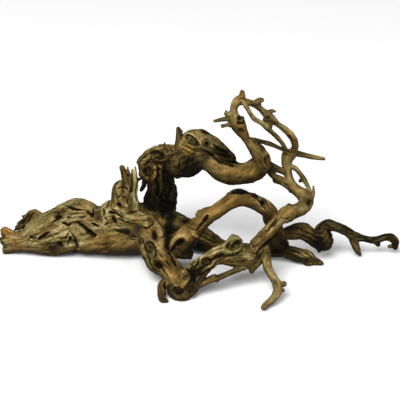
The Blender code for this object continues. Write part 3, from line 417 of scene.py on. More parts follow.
    "burl eye arc": (1, [(152, 164.6, 0.4), (153.6, 169, 0.7), (152, 174, 0.5)]),
    "burl outer arc": (1, [(157.6, 166, 0.4), (159, 171, 0.7), (156.6, 177, 0.5)]),
    "burl low crease": (1.2, [(143, 172.4, 0.9), (145.6, 175.6, 0.8), (150, 176.4, 0.5)]),
    "burl seam": (0.9, [(170.6, 147, 0.5), (172, 151, 0.9), (172.6, 157, 0.6)]),
    "bulge crack": (1.1, [(180.4, 158.6, 0.4), (179.4, 163, 0.9), (179, 168, 0.8), (179.4, 173, 0.4)]),
    "bulge second crack": (0.8, [(188.4, 158.6, 0.4), (187, 163, 0.8), (186.6, 168.6, 0.4)]),
    "bulge third crack": (0.7, [(166, 160, 0.4), (165, 168, 0.8), (166.4, 175, 0.4)]),
    "wavy line one": (0.8, [(181, 144.4, 0.3), (186, 146.4, 0.5), (191, 149.4, 0.6), (199, 151, 0.3)]),
    "wavy line two": (0.8, [(180, 148, 0.3), (185, 150.6, 0.5), (190, 153.4, 0.6), (198, 155, 0.3)]),
    "lump rim": (1.4, [
        (184.6, 136.6, 0.3), (189, 135.6, 0.6), (193.4, 137.4, 0.7), (196.6, 141, 0.8), (199, 145, 0.5),
    ]),
    "lump low rim": (0.8, [(183, 140, 0.3), (187, 143, 0.5), (193, 144.8, 0.6), (198.6, 145.4, 0.3)]),
    "lump inner spot": (0.9, [(186.6, 138.4, 1), (188.6, 138, 0.9)]),
    "lump inner dash": (0.9, [(194.6, 142.4, 0.6), (196, 143.8, 1)]),
    "top edge fold": (0.8, [(191, 132, 0.3), (196, 134.6, 0.6), (200.6, 138, 0.4)]),
    "long seam": (2.4, [
        (203.6, 148.6, 0.4), (208.6, 152.6, 0.9), (213, 156, 0.9), (216.4, 159.4, 1.2), (221, 162, 1.4),
        (227, 163.4, 1.3), (233, 166, 1.2),
    ]),
    "broken end fold": (1.6, [(213, 144.4, 0.5), (217, 147.6, 1), (222, 150.6, 1.3), (228, 152.6, 1)]),
    "broken end second fold": (1.6, [(219, 153.6, 0.6), (224, 155.6, 1.2), (230, 157, 1)]),
    # Arch and riser
    "arch streak one": (0.6, [(226, 173, 0.3), (230, 170, 0.5), (235, 169, 0.3)]),
    "arch streak two": (0.6, [(234, 173.6, 0.3), (240, 171.4, 0.5), (250, 171, 0.3)]),
    "arch streak three": (0.5, [(212, 168, 0.3), (221, 176, 0.5), (232, 180, 0.3)]),
    "elbow line": (0.7, [(247, 151, 0.3), (252, 156.6, 0.6), (256, 162, 0.5), (257, 168, 0.3)]),
    "riser fold": (1.5, [(236.6, 121, 0.5), (238.6, 123.4, 1), (242.6, 123.4, 0.8)]),
    "riser long line": (0.7, [(233, 107, 0.3), (233.4, 114, 0.5), (236, 121, 0.4)]),
    "riser side line": (0.7, [(244, 133, 0.3), (247.6, 140, 0.5), (254.6, 148, 0.4)]),
    # Middle arch
    "middle arch crack": (2.4, [
        (208, 215.4, 0.6), (206.4, 217.6, 1.5), (204, 221.6, 1.3), (200.4, 226, 0.9), (196, 231, 0.4),
    ]),
    "open end tail": (1.8, [(176, 245, 1.2), (173.4, 248.4, 0.9), (171, 251.6, 0.6)]),
    "orange line": (0.6, [(222, 203, 0.3), (232, 197.6, 0.5), (244, 197, 0.3)]),
    "under line": (0.6, [(214, 213, 0.3), (226, 206.6, 0.5), (238, 202.6, 0.3)]),
    "bark edge": (1, [(231, 192.4, 0.6), (237, 190.6, 1), (243.6, 191.6, 0.7)]),
    "bark edge two": (0.8, [(247.6, 193.6, 0.6), (253, 194.4, 0.8), (258, 197.4, 0.3)]),
    # Front branch and knuckle
    "branch rim crack": (1.5, [
        (149.6, 241.6, 0.8), (153.4, 244.6, 0.6), (155.8, 250, 0.8), (155.4, 258, 0.5),
    ]),
    "branch left arc": (1, [
        (143.6, 239, 0.4), (144.4, 246, 0.7), (147.6, 253, 0.6), (150.4, 259.6, 0.4),
    ]),
    "branch left crack": (1.2, [
        (146.6, 254, 0.4), (150.4, 261.6, 0.7), (153.6, 267.6, 0.8), (160, 271.6, 0.4),
    ]),
    "branch low crack": (1.4, [(162.4, 268, 0.9), (165, 272.4, 0.8), (168, 276.4, 0.4)]),
    "shoulder seam": (2.4, [
        (168.6, 253, 0.5), (171.4, 256.6, 0.9), (173.6, 260.6, 1.2), (175.6, 265.6, 1),
    ]),
    "upper dark slit": (1.4, [(162.4, 210, 0.4), (162.2, 213.6, 0.7), (161.6, 217, 0.8)]),
    "upper dark dash": (1, [(159.4, 222.6, 0.5), (160.6, 225, 0.9)]),
    "knuckle long line": (0.7, [(176, 268, 0.3), (183, 274, 0.6), (190, 283, 0.4)]),
    "hook seam": (1.6, [(165, 281.6, 0.5), (163.8, 286, 1), (166.4, 290.4, 0.8)]),
    # Gnarled branch
    "gnarled long crack": (2, [
        (188.6, 270.6, 0.6), (194, 271.4, 1), (199.6, 269, 1), (204.6, 266.4, 0.5),
    ]),
    "gnarled top crack": (2.2, [
        (209.6, 260.6, 0.6), (214, 258.6, 1), (219, 255.8, 1.2), (224.6, 253.4, 0.6),
    ]),
    "gnarled curl": (1.4, [(191, 264, 0.4), (194.4, 267, 0.9), (198, 263, 0.9), (199.6, 258.6, 0.5)]),
    "gnarled second curl": (1.2, [(190, 267.6, 0.5), (192.6, 269, 0.9), (196, 267, 0.4)]),
    "gnarled thin line": (0.8, [(214.6, 250.8, 0.3), (220, 249.4, 0.7), (226.6, 247.6, 0.3)]),
    "gnarled low line": (0.9, [(226, 256.4, 0.3), (232, 256.4, 0.6), (240, 255.6, 0.3)]),
    "gnarled belly line": (0.9, [(222, 259.6, 0.4), (232, 262.6, 0.6), (244, 262, 0.3)]),
    "knob side crack": (1.2, [(244, 240.6, 0.4), (246, 245.6, 0.8), (246.6, 252, 0.4)]),
    # Right limb and the strands behind it
    "crossing crack one": (1.5, [
        (276.4, 218.6, 0.4), (274, 222.6, 0.9), (271, 226.6, 0.9), (268.4, 229.4, 0.4),
    ]),
    "crossing crack two": (1.2, [(278, 220.4, 0.4), (275.6, 224, 0.7), (273, 227, 0.4)]),
    "crossing dash": (1.2, [(264.6, 231, 0.6), (268, 230.6, 0.9), (270, 228.6, 0.4)]),
    "crossing low dash": (1, [(258, 237.6, 0.4), (261, 236.6, 0.8), (264.6, 236.2, 0.4)]),
    "crossing thin line": (0.8, [(250, 243, 0.3), (254, 239.6, 0.5), (258, 234.6, 0.3)]),
    "crossing seam": (2.2, [
        (255, 253.6, 0.7), (261, 248, 1.1), (266.6, 243, 1.1), (272, 237, 0.9), (276, 233.4, 0.4),
    ]),
    "limb top edge": (0.8, [(284.6, 204.6, 0.5), (290, 204.6, 0.8), (299, 205.6, 0.5)]),
    "limb low edge": (0.8, [(279, 217, 0.4), (286, 218.6, 0.7), (290, 217, 0.4)]),
    "limb joint": (1, [(281.6, 182.4, 0.4), (286.4, 184.6, 0.7), (290, 189, 0.6)]),
    "back strand line one": (1.1, [
        (288, 233, 0.4), (300, 234.6, 0.8), (311, 239.6, 0.8), (320, 247.6, 0.5),
    ]),
    "back strand line two": (1.1, [(300, 230, 0.4), (310, 233.6, 0.8), (320, 240, 0.6), (326, 246, 0.4)]),
    "back strand line three": (1, [(286, 228, 0.3), (296, 227.6, 0.7), (306, 229.6, 0.4)]),
    "low strand line one": (1, [(288, 249, 0.4), (298, 252.6, 0.9), (308, 259, 0.6)]),
    "low strand line two": (1, [(300, 250.6, 0.4), (308, 254, 0.8), (316, 261, 0.5)]),
    "far cane dark": (0.9, [(324, 223, 0.6), (328, 226, 1.2), (334, 228.6, 0.8)]),
}

# Holes on that side: across, down, two radii, turn in degrees, and depth
holes = {
    "riser knot heart": (239.5, 118.2, 1.3, 1.3, 0, 1.4),
    "knob small pit": (233, 247, 1.2, 1, 0, 1.4),
    "knob side pit": (237.2, 252.8, 1.2, 0.9, 0, 1.4),
    "lump knot heart": (206.6, 143.4, 1.7, 1.6, 0, 1.8),
    "middle arch pit": (262.8, 203.2, 3.2, 1.6, 48, 2.2),
    "cane pit": (268, 117, 1.2, 1, 0, 1.2),
    "cane low pit": (289.4, 136, 1.2, 1, 0, 1),
    "knob heart": (236.6, 242.8, 3.8, 1.7, -22, 1.5),
    "burl socket": (144.2, 170.8, 1.3, 2, 0, 1.8),
    "trunk eye": (58.9, 217.4, 3.4, 2.3, -20, 3.4),
    "star heart": (92.4, 214.8, 1.8, 1.5, 0, 2.4),
    "belly hole": (60.2, 243.6, 2.5, 1.8, 25, 2.2),
    "ray heart": (70.9, 238.4, 1.3, 1.7, 0, 2),
    "stub base hole": (119.4, 204.7, 2.3, 1.5, 20, 2.4),
    "knotty slot": (114.6, 219.7, 3.6, 1.6, 62, 3.2),
    "ear hole": (106, 218.5, 1.2, 1, 0, 1.6),
    "ear upper hole": (110.2, 211.8, 1.1, 1.1, 0, 1.6),
    "hollow": (123.6, 231.8, 3.4, 1.7, 5, 2.4),
    "burl pit": (161.7, 154.6, 2, 2.4, 0, 2.6),
    "lump oval": (205.2, 132.2, 3.6, 1.7, 12, 1.8),
    "front branch hole": (154.7, 235.2, 2.3, 4.2, -12, 3.6),
    "front low hole": (158.6, 265.2, 4.4, 3, 28, 3.4),
    "open end": (179.9, 242.8, 5, 3, -33, 4.4),
    "gnarled pit": (236.8, 253, 1.2, 1.2, 0, 1.6),
    "elbow pit": (264.7, 168.3, 1, 0.9, 0, 1.2),
    "limb hole": (309.2, 202.6, 2.1, 3.2, 10, 2.2),
    "riser dark knot": (240.8, 130.2, 2.4, 1.8, 0, 1.4),
}

# Knots on that side, as for the holes
knots = {
    "rough small knot": (141.2, 240.6, 2.2, 3, -15, 0.7),
    "knuckle knot": (178, 290.4, 4.8, 3.4, 10, 0.5),
    "hollow ring": (127.8, 232, 2.8, 2.6, 0, 1.4),
    "burl eye": (148, 169.6, 3, 3.4, 0, 1.2),
    "bulge knot": (190.8, 159, 3, 2.6, 0, 0.8),
    "lump knot": (206.2, 142.8, 4, 3.6, 0, 1.4),
    "riser knot": (239.8, 118.4, 3.2, 3.3, 0, 1.2),
    "elbow knot": (267.4, 160, 3.4, 4.6, 0, 1),
    "middle arch knot": (263.4, 203.6, 4.6, 3, 48, 1.4),
    "rough knot": (149.6, 247.4, 4.2, 5.4, -10, 1.2),
    "gnarled knot": (206.8, 261.6, 4.4, 3.7, -10, 1.6),
    "knob knot": (233.4, 245, 6, 4.6, -20, 0.6),
    "lump eye": (191.6, 140.4, 6.6, 3.2, 38, 0.7),
}

# Ridges on that side: height, then points as for the cracks
ridges = {
    "back limb strand": (1.2, [(192, 234.6, 0.7), (203, 240, 1.3), (216, 246, 0.8)]),
    "column low strand": (1.2, [(156, 198, 0.8), (161, 203, 1.4), (168, 208, 0.8)]),
    "column strand one": (1.6, [
        (160.6, 166, 1), (160.4, 176, 1.5), (161.4, 186, 1.5), (159.6, 196, 0.9),
    ]),
    "column strand two": (1.3, [(153.6, 176, 1), (154.4, 186, 1.4), (154, 196, 0.9)]),
    "column strand three": (1.2, [(172, 182, 0.9), (172.4, 192, 1.4), (171, 202, 0.9)]),
    "burl tan strand": (1.5, [(153.4, 164.6, 0.6), (154.6, 170, 1.3), (154.8, 176.6, 1)]),
    "strand under the groove": (0.9, [
        (36, 240.4, 0.6), (44, 241.8, 1.2), (50, 239, 1.2), (54, 233.6, 0.6),
    ]),
    "end strand": (0.8, [(8, 236, 0.8), (18, 239.4, 1.6), (32, 243, 1.8), (46, 244.6, 0.8)]),
    "end upper strand": (0.7, [(20, 233.6, 0.8), (32, 229, 2.2), (46, 222.6, 2.4), (56, 214, 1)]),
    "fold over the step": (1.2, [
        (61, 220.4, 0.8), (68, 221, 1.4), (76, 219.6, 1.4), (88, 221.6, 1.2), (98, 229, 0.8),
    ]),
    "fold under the step": (1.3, [
        (55, 232.6, 0.7), (62, 228.6, 1.4), (70, 227.6, 1.6), (77, 226.4, 1.6), (82, 231.6, 1.4),
        (88, 237.6, 0.8),
    ]),
    "ray strand one": (1.1, [(68, 231.6, 0.7), (71.6, 235.6, 1), (75, 242, 1.2), (78, 250, 0.8)]),
    "ray strand two": (0.9, [(66, 232, 0.6), (64, 240, 1.2), (65.6, 248, 0.8)]),
    "ray strand three": (0.9, [(74, 229.6, 0.7), (78.6, 236.6, 1.3), (82, 243, 0.8)]),
    "bump fold lip": (1, [(64, 208, 0.7), (70, 210.6, 1.4), (78, 212, 1.4), (86, 211.6, 0.8)]),
    "bump brow": (0.9, [(66, 203.8, 0.7), (73, 206, 1.2), (82, 206.2, 1.2), (90, 206, 0.7)]),
    "ear rim": (1.5, [
        (111, 199.6, 0.7), (105, 205, 1.2), (101.8, 211, 1.3), (102.6, 217, 1.2), (106.8, 221.6, 0.7),
    ]),
    "ear inner rim": (1, [(107, 210, 0.6), (107.6, 215, 1), (109, 220, 0.7)]),
    "wrinkle ridge": (1.2, [
        (112, 214.8, 0.6), (117, 216.6, 1.4), (122, 219.4, 1), (127, 220.8, 0.8), (133, 222, 0.5),
    ]),
    "wrinkle upper ridge": (1.2, [(114, 208, 0.8), (122, 211, 1.8), (130, 216, 1.8), (140, 218.4, 1)]),
    "hollow brow": (1.2, [(112, 226.6, 0.7), (118, 228.2, 1.4), (126, 227.6, 1.2), (134, 228, 0.7)]),
    "stub foot": (1, [(120, 206.6, 0.8), (127, 206, 1.6), (134, 209.6, 1.4), (142, 213, 0.8)]),
    "branch knob one": (0.9, [(142.6, 217.6, 2.4), (146.4, 217.2, 2.4)]),
    "branch ridge": (0.9, [
        (150, 215.6, 1), (156.6, 222, 2), (160.4, 232, 2.4), (161, 245, 2.2), (158.6, 258, 1),
    ]),
    "branch left ridge": (1, [(139.4, 238, 1), (141, 246, 1.8), (147, 257, 1.4), (152, 268, 0.8)]),
    "low hole rim": (1, [(152, 258, 0.8), (152.4, 263.4, 1.2), (156, 268.6, 1), (161.6, 270.6, 0.7)]),
    "open end rim": (1.4, [
        (170.6, 251, 0.8), (171.8, 244, 1.5), (176.6, 237.4, 1.5), (184.6, 236.4, 1.2), (187.6, 241, 1),
    ]),
    "knuckle brow": (0.4, [(169.6, 285.6, 0.8), (174, 281.6, 1.6), (181, 281.8, 1.4), (186, 286, 0.8)]),
    "gnarled ridge": (1.1, [
        (193, 262, 0.8), (200, 256.6, 1.5), (208, 255.4, 1.5), (217, 252.4, 1.3), (226, 249.4, 0.8),
    ]),
    "gnarled low ridge": (1, [
        (203, 268.6, 0.8), (209.6, 266.6, 1.4), (215.6, 261.8, 1.3), (222, 257.6, 0.8),
    ]),
    "knob left edge": (1, [(224, 245.6, 0.8), (228.6, 240.6, 1.3), (232, 236.4, 0.8)]),
    "knob low edge": (1, [(226, 251.6, 0.8), (232, 251.8, 1.3), (240, 248.6, 1)]),
    "crossing ridge": (0.8, [(252, 246, 0.8), (262, 239.6, 1.5), (271, 230.6, 1.4), (279, 221, 0.8)]),
    "lump strand": (1.3, [
        (198, 139.6, 0.8), (203, 146.4, 1.5), (211, 151.6, 1.5), (219, 157.6, 1.4), (229, 161.4, 0.8),
    ]),
    "lump brow": (1, [(183.6, 138.6, 0.8), (189, 133.8, 1.3), (196, 135, 1.4), (201, 139, 0.9)]),
    "wavy strand one": (0.7, [(180, 146.4, 0.6), (186, 148.6, 1.2), (192, 152, 1.2), (201, 153.4, 0.7)]),
    "wavy strand two": (0.6, [(180, 142.6, 0.6), (186, 144.4, 1.1), (193, 147.6, 1.1), (200, 148, 0.6)]),
    "burl ridge one": (1.4, [(143.6, 160, 0.8), (148, 158, 1.3), (153, 158.4, 1.1), (156.4, 160.4, 0.7)]),
    "burl ridge two": (1.3, [(152.6, 166, 0.7), (156, 170, 1.2), (155.6, 175, 1.1), (152, 179, 0.6)]),
    "burl ridge three": (1.1, [(160, 166, 0.6), (163, 171, 1.2), (162, 178, 0.8)]),
    "burl top ridge": (1.2, [(146, 151.6, 0.8), (153, 148.6, 1.4), (162, 147.6, 1.3), (169, 148.6, 0.8)]),
    "burl middle ridge": (1, [(157.6, 155, 0.8), (163, 159.6, 1.2), (168, 161, 0.7)]),
    "back strand ridge": (0.9, [
        (284, 231.6, 0.8), (298, 232.4, 1.2), (311, 237, 1.1), (321, 244.6, 0.7),
    ]),
    "low strand ridge": (0.9, [(290, 252.4, 0.7), (302, 254.8, 1.1), (312, 260, 0.7)]),
}

# Stains on that side, with patches of painted shade and painted light: across, down, two radii,
# turn, then the change in lightness and in warmth. The rows named shade or shadow are painted shade,
# as are the others marked below.
stainsAndPaintedLight = {
    # painted light at the foot of the stubs
    "stub foot bright": (128, 211.8, 9, 3.6, 8, 0.26, 0),
    "hollow wide shade": (133, 230.6, 9, 6, -25, -0.24, -0.2),
    "riser knot black": (239.5, 118.2, 1.5, 1.5, 0, -0.5, -0.3),
    "riser knot pale": (241.2, 120.4, 2, 2, 0, 0.16, -0.3),
    "riser crown dark": (242.4, 92.4, 3.2, 3, 0, -0.2, 0.3),
    "riser flap dark": (262, 148.6, 2.6, 4, -40, -0.3, -0.2),
    "riser low edge": (247.6, 148.6, 2, 5, -35, -0.3, -0.2),
    # painted shadow in the fork
    "fork dark": (259, 256.4, 4.4, 4.4, -30, -0.4, -0.2),
    # painted shade between the front branch and the middle arch
    "branch far edge dark": (167.4, 238, 2.2, 12, 0, -0.5, -0.2),
    "knob dark smear": (236.4, 242.6, 4.6, 2.2, -22, -0.24, 0.1),
    "knob green": (228.6, 244, 3, 4, -40, 0.06, -0.7),
    "knob low green": (231, 252, 7, 2.4, -10, 0.02, -0.6),
    "crotch strand": (162, 217, 3.4, 8, 0, 0.14, 0.1),
    "strand shade": (301, 232, 17, 7, 8, -0.2, 0),
    "strand low shade": (318, 243, 12, 5, 35, -0.2, 0),
    "arch corner orange": (203, 213, 8, 5, -30, 0, 0.4),
    "arch middle orange": (222, 204, 14, 5, -30, 0.02, 0.5),
    # painted shade at the foot of the gnarled branch
    "gnarled foot dark": (203, 274, 7, 5, -35, -0.25, 0),
    # painted shade in the hole
    "front hole black": (154.8, 235.4, 1.9, 3.6, -12, -0.5, -0.4),
    # painted shade in the hole
    "front low black": (158.8, 265.2, 3.8, 2.5, 28, -0.45, -0.2),
    # painted shade in the open end
    "open end black": (180, 243, 4, 2.4, -33, -0.5, -0.3),
    "arch bark black": (238, 191.8, 8, 2.2, 0, -0.38, -0.3),
    "arch far bark black": (254, 195, 5, 1.8, 25, -0.4, -0.2),
    # painted shade in the pit
    "middle arch pit black": (262.8, 203.2, 2.6, 1.3, 48, -0.4, 0),
    "middle arch knot pale": (262.6, 203.4, 7, 5, 48, 0.38, 0.1),
    # painted shade in the knot's pit
    "lump knot black": (206.6, 143.6, 1.8, 1.7, 0, -0.3, -0.2),
    "bulge knot pale": (190.8, 159, 3.4, 3, 0, 0.16, 0.2),
    "strand foot pale": (136, 200, 3, 8, 0, -0.06, 0),
    "knobs shade": (150.6, 221, 2.4, 5, 0, -0.2, -0.3),
    "wrinkle lilac": (122, 217, 6, 2.4, 25, 0.06, -0.9),
    "knuckle oval": (178, 290.4, 4, 3, 10, -0.1, -0.3),
    "elbow shade": (262, 166, 9, 14, 0, -0.24, 0.2),
    "arch under shade": (232, 179, 26, 6, 0, -0.18, 0.2),
    "arch right bark": (272, 209, 5, 4, 40, -0.1, 0),
    "cane joint dark": (268.6, 117, 4, 4, 0, -0.24, 0.3),
    "cane knot dark": (289, 136, 3, 3, 0, -0.16, 0.2),
    "cane low dark": (296, 146, 4, 6, 0, -0.12, 0.2),
    "canes meet dark": (285, 148, 4, 5, 0, -0.16, 0),
    "end orange": (6.6, 234, 5, 4, 0, 0, 0.7),
    "end brown": (14, 242, 9, 4, 0, -0.05, 0.5),
    "end pale": (33, 226, 12, 7, -30, 0.14, -0.3),
    "ridge orange": (63.6, 211.6, 6, 6, 0, 0.02, 0.6),
    "bump pink": (84, 213, 6, 3.6, 0, 0.08, 0.2),
    "bump olive": (76, 203, 9, 4, 0, 0.04, -0.2),
    "middle pale": (75, 231, 6, 7, 0, 0.1, -0.3),
    "ray pale": (60, 236, 10, 6, 0, 0.12, -0.1),
    "strand pale": (44, 242.4, 9, 2, -8, 0.12, -0.1),
    # painted shade under the trunk's belly
    "belly dark": (54, 247.6, 11, 3.6, 0, -0.34, -0.2),
    "behind ridge": (99, 214, 3.4, 9, 0, -0.2, -0.4),
    # painted shade in the star's hollow
    "star hollow": (95.4, 213, 2.6, 2, 0, -0.2, -0.6),
    "lower orange": (112, 240, 22, 9, 0, -0.1, 0.4),
    "lower shade": (100, 251, 45, 3, 0, -0.14, 0),
    "ear pale": (105, 214, 3.6, 9, -10, 0.12, -0.1),
    "wrinkle pink": (118, 216.4, 5, 3, 30, 0.12, 0.3),
    "wrinkle pale": (130, 217, 9, 6, 15, 0.06, -0.1),
    "stub foot pale": (128, 208, 8, 4, 35, 0.08, -0.3),
    "hollow shade": (127, 232, 9, 4.6, 5, -0.2, -0.2),
    "valley shade": (139, 230, 4, 10, 0, -0.26, -0.3),
    "knob pale": (144.6, 217.4, 4, 3.4, 0, 0.06, -0.2),
    "knob pale two": (146.4, 224.2, 4.4, 2.4, 0, 0.05, -0.3),
    "branch ridge pale": (160, 236, 4, 18, 0, 0.04, 0),
    "branch side shade": (168, 236, 4, 20, 0, -0.2, -0.3),
    "branch orange": (147, 231, 4.6, 4, 0, 0, 0.7),
    "branch lower orange": (176, 276, 12, 9, 40, -0.06, 0.4),
    "branch knotty shade": (150, 250, 5, 9, -15, -0.12, -0.3),
    "knuckle shade": (184, 292, 14, 8, 0, -0.16, 0),
    # painted shade in a valley of the gnarled branch
    "gnarled valley": (191.6, 275, 6, 7, 0, -0.3, -0.4),
    "gnarled pale": (203, 257.4, 8, 3, -20, 0.05, 0),
    "gnarled belly": (240, 261.6, 16, 4, 0, 0.12, 0.2),
    "knob olive": (234, 240, 8, 5, 0, 0.05, -0.3),
    "burl red": (156, 170, 4, 9, 0, 0.08, 0.6),
    "burl pale top": (156, 147.6, 9, 3, 0, 0.18, -0.1),
    "burl side shade": (167, 166, 5, 13, 0, -0.16, 0),
    "bulge brown": (174, 167, 4, 8, 0, 0.16, 0.5),
    "bulge dark": (192.6, 168, 9, 7, -20, -0.3, -0.6),
    "bulge blue": (177, 152, 5, 5, 0, -0.14, -0.6),
    "wavy orange": (189, 151, 10, 4.4, 22, 0.12, 0.5),
    "lump patch": (191.6, 140.4, 6.4, 3.2, 38, 0, -0.7),
    "lump end dark": (224, 152, 13, 8, 42, -0.32, -0.3),
    "seam shade": (229, 162, 8, 4, 20, -0.34, -0.2),
    # painted highlight on the riser
    "riser bright": (245.6, 140, 4.6, 11, -28, 0.14, 0.2),
    "riser shade": (235.6, 129, 3.4, 7, -25, -0.2, 0),
    "arch orange": (236, 172, 14, 5, 0, 0.06, 0.5),
    # painted shade at the column's foot
    "column low": (158, 204, 18, 9, 0, -0.26, -0.4),
    "column brown": (158, 179, 9, 9, 0, 0.24, 0.7),
    "column brown streak": (164, 192, 3, 10, 0, 0.09, 0.5),
    "column rim": (173, 190, 2.6, 10, 0, 0.14, 0.2),
    "column pale streak": (153.4, 192, 1.6, 6, -20, 0.1, -0.5),
    "burl tan": (154.8, 170, 1.8, 5, 0, 0.22, 0.4),
    # painted shade in the burl's socket
    "burl black": (144.4, 170.6, 1.6, 2.4, 0, -0.4, 0.2),
    "burl green top": (150, 150.6, 7, 3, -35, 0.08, -0.6),
    "burl rust": (147, 164, 5, 3, -30, -0.06, 0.9),
    "bulge shadow": (186.6, 162.6, 2.4, 4.6, 20, -0.18, -0.3),
    "curl pale": (324.8, 237.4, 3.8, 2.6, 20, 0.2, 0.3),
    # painted shade under the curl
    "curl black": (319, 246, 7, 3, 35, -0.24, -0.4),
    "strand top dark": (307, 226, 3.6, 3.4, 0, -0.14, -0.7),
    "far spot": (330, 228.6, 3.4, 2.8, 0, -0.24, 0.1),
    "low strand dark": (277, 250, 10, 5, -12, -0.3, -0.8),
    "web dark": (285, 242.6, 5, 4, -35, -0.3, -0.4),
    "low strand pale": (311.6, 255.4, 4, 3.4, 40, 0.24, -0.1),
    "low strand streak": (302, 256, 4, 1.5, 35, 0.16, 0.2),
    "far tip dark": (395, 245, 4, 4.6, 0, -0.14, 0),
    # painted shade right of the open end
    "lip dark": (194, 249.6, 8, 6.6, -20, -0.34, -0.4),
    # painted shade in the crotch
    "crotch dark": (193, 275, 5, 8.6, 12, -0.32, -0.9),
    "knob brown": (231.4, 247.4, 3.6, 3.4, 0, -0.06, 0.6),
    "belly orange": (230, 260.6, 8, 2.6, 10, 0.03, 0.7),
    "knuckle orange": (185, 284, 7, 8, 0, 0.02, 0.6),
    "limb vertical pale": (288, 172, 4, 14, 0, 0.1, 0),
    "limb level shade": (288, 213, 12, 7, 0, -0.04, 0),
    "crossing shade": (262, 239, 14, 9, -40, -0.12, 0.1),
    # painted light on the rim of the open end
    "open end rim": (178, 240, 8.6, 7.6, -25, 0.22, 0),
    "arch patch orange": (189.6, 240.4, 2.6, 2.4, 0, 0, 0.8),
    "arch low shade": (197, 246, 9, 4.6, 0, -0.3, -0.2),
    # painted shade in the hollow by the column
    "hollow by column": (188, 221.6, 5, 3.4, 20, -0.4, 0),
    "back limb streak": (212, 246, 9, 3, 20, 0.32, 0.2),
    "web orange": (273.6, 240.4, 4, 5.4, 0, 0.16, 0.5),
    "limb tan": (290, 211, 7, 4, 0, 0.08, 0.2),
    "joint dark": (293, 153, 5, 3, 0, -0.14, 0.2),
    "limb elbow shade": (306, 201, 8, 8, 0, -0.2, 0),
    "limb low shade": (290, 212, 12, 6, -15, -0.12, 0.1),
    "arch top shade": (241, 198, 20, 7, 0, -0.11, 0.2),
    "front low shade": (166, 268, 12, 10, 40, -0.14, 0.1),
    "knuckle low shade": (180, 291, 14, 9, 0, -0.17, 0.1),
    "riser top pale": (234, 108, 5, 12, 0, 0.21, -0.1),
    # painted shade deep between the front branch and the middle arch
    "deep hollow": (171, 230, 5, 20, 0, -0.4, -0.2),
    "gnarled shade": (196, 270, 9, 9, 0, -0.08, 0),
    "trunk belly pale": (72, 244, 14, 5, 0, 0.08, 0),
}

# Pulls on the skin: across, down and radius, then how far across and down it is pulled
pulls = {
    "arch corner side": (192.6, 216.6, 2.4, 2.6, 0.3),
    "bulge corner": (176.4, 177.6, 2.2, 0, 1.3),
    "knob tip": (232.6, 235, 2.2, -0.4, -0.9),
    "knob left slope": (228, 239, 2.6, 0.9, 0.6),
    "curl tip": (319.4, 250.4, 1.8, -0.3, 1.8),
    "low strand step": (309, 262.6, 2, -0.4, 1.8),
    "low strand notch": (302, 261.6, 2.6, 0, -1.4),
    "lip drip": (190.4, 257.6, 1.4, 0, 1.8),
    "under twig drip": (217.6, 281, 1.3, 0, 1.2),
    "limb drip": (287, 221, 1.5, 0, 1.2),
    "end upper lobe": (6, 230, 4, -0.6, -0.2),
    "end middle lobe": (2, 241.4, 2.4, -0.7, 0),
    "end low notch": (5, 247.2, 1.3, 2.8, 0),
    "end low prong": (7, 251.4, 2.6, -0.8, 1),
    "burl corner": (139, 161.4, 3.4, -1.6, 0),
    "arch corner up": (198.4, 211.4, 2.6, -0.6, -0.9),
    "trunk belly notch": (75.6, 251, 2.6, 0, -2.4),
}

carving = {
    "voxel": 0.0011,  # metres
    "triangles": 192000,  # before the floor cuts it
    "strandHeight": 0.14,  # share of a limb's radius
    "strandRadius": 16.0,  # a thicker limb has no higher strands
    "strandWidth": 3.4,  # units across one strand
    "strandLength": 30.0,
    "strandTwist": 0.16,  # units sideways in each unit along
    "strandSway": 3.4,
    "swaySize": 13.0,
    "seamWidth": 0.07,  # how wide the seams between strands are
    "seamPatches": (14.0, 7.0, 7.0),  # units along and across the stretches where seams are open
    "fineHeight": 0.3,  # units
    "fineWidth": 1.4,
    "fineLength": 22.0,
    "lumpHeight": 0.9,
    "lumpSize": 12.0,
    "knobHeight": 1.0,
    "knobSize": 5.0,
    "limbReach": 8.0,  # units from a limb's skin that it still shapes
    "limbBlend": 1.2,
    "wideLimb": 12.0,
    "ragged": 0.65,  # how strongly the drawn marks stray from their lines
    "raggedSize": 2.3,
    "lip": 0.22,  # raised edge of a crack, as a share of its depth
    "ridgeGrowth": 1.3,
    # lighter colour along a drawn ridge: paler wood with a painted highlight
    "ridgeLight": 0.1,
    "swell": 0.3,
    "hiddenKnots": 44,
    "hiddenCracks": 150,
    "hiddenKnotShare": 0.34,  # largest knot, as a share of the limb's radius
    "hiddenKnotLimit": 4.2,  # and in units
    "hiddenCrackHalf": (4, 11),  # units from a crack's middle to its end
    "hiddenCrackWidth": 1.2,  # half width on a thick limb, before chance changes it
    "hiddenCrackDepth": 1.5,  # in half widths
    "seed": 11,
    "pullDepth": 24,  # units behind the nearest skin that a pull still moves
    "skyRings": ((80, 2), (55, 5), (28, 7)),  # degrees above the floor, and rays in the ring
    "skyLean": 0.25,  # towards the front
    "skyReach": 0.16,  # metres in which other wood still shades a point
    "skyLift": 0.0012,  # metres from the skin to a ray's start
    "skySpread": 0.6,  # share of its light that a point takes from its neighbours
}
farGap = 4.0  # half widths, for a point with no mark near it
noiseCells = 32  # hills before the noise repeats
limbPattern = 97.0  # units along the grain from one limb's pattern to the next
limbTurn = 1.7  # radians round the grain from one limb's pattern to the next

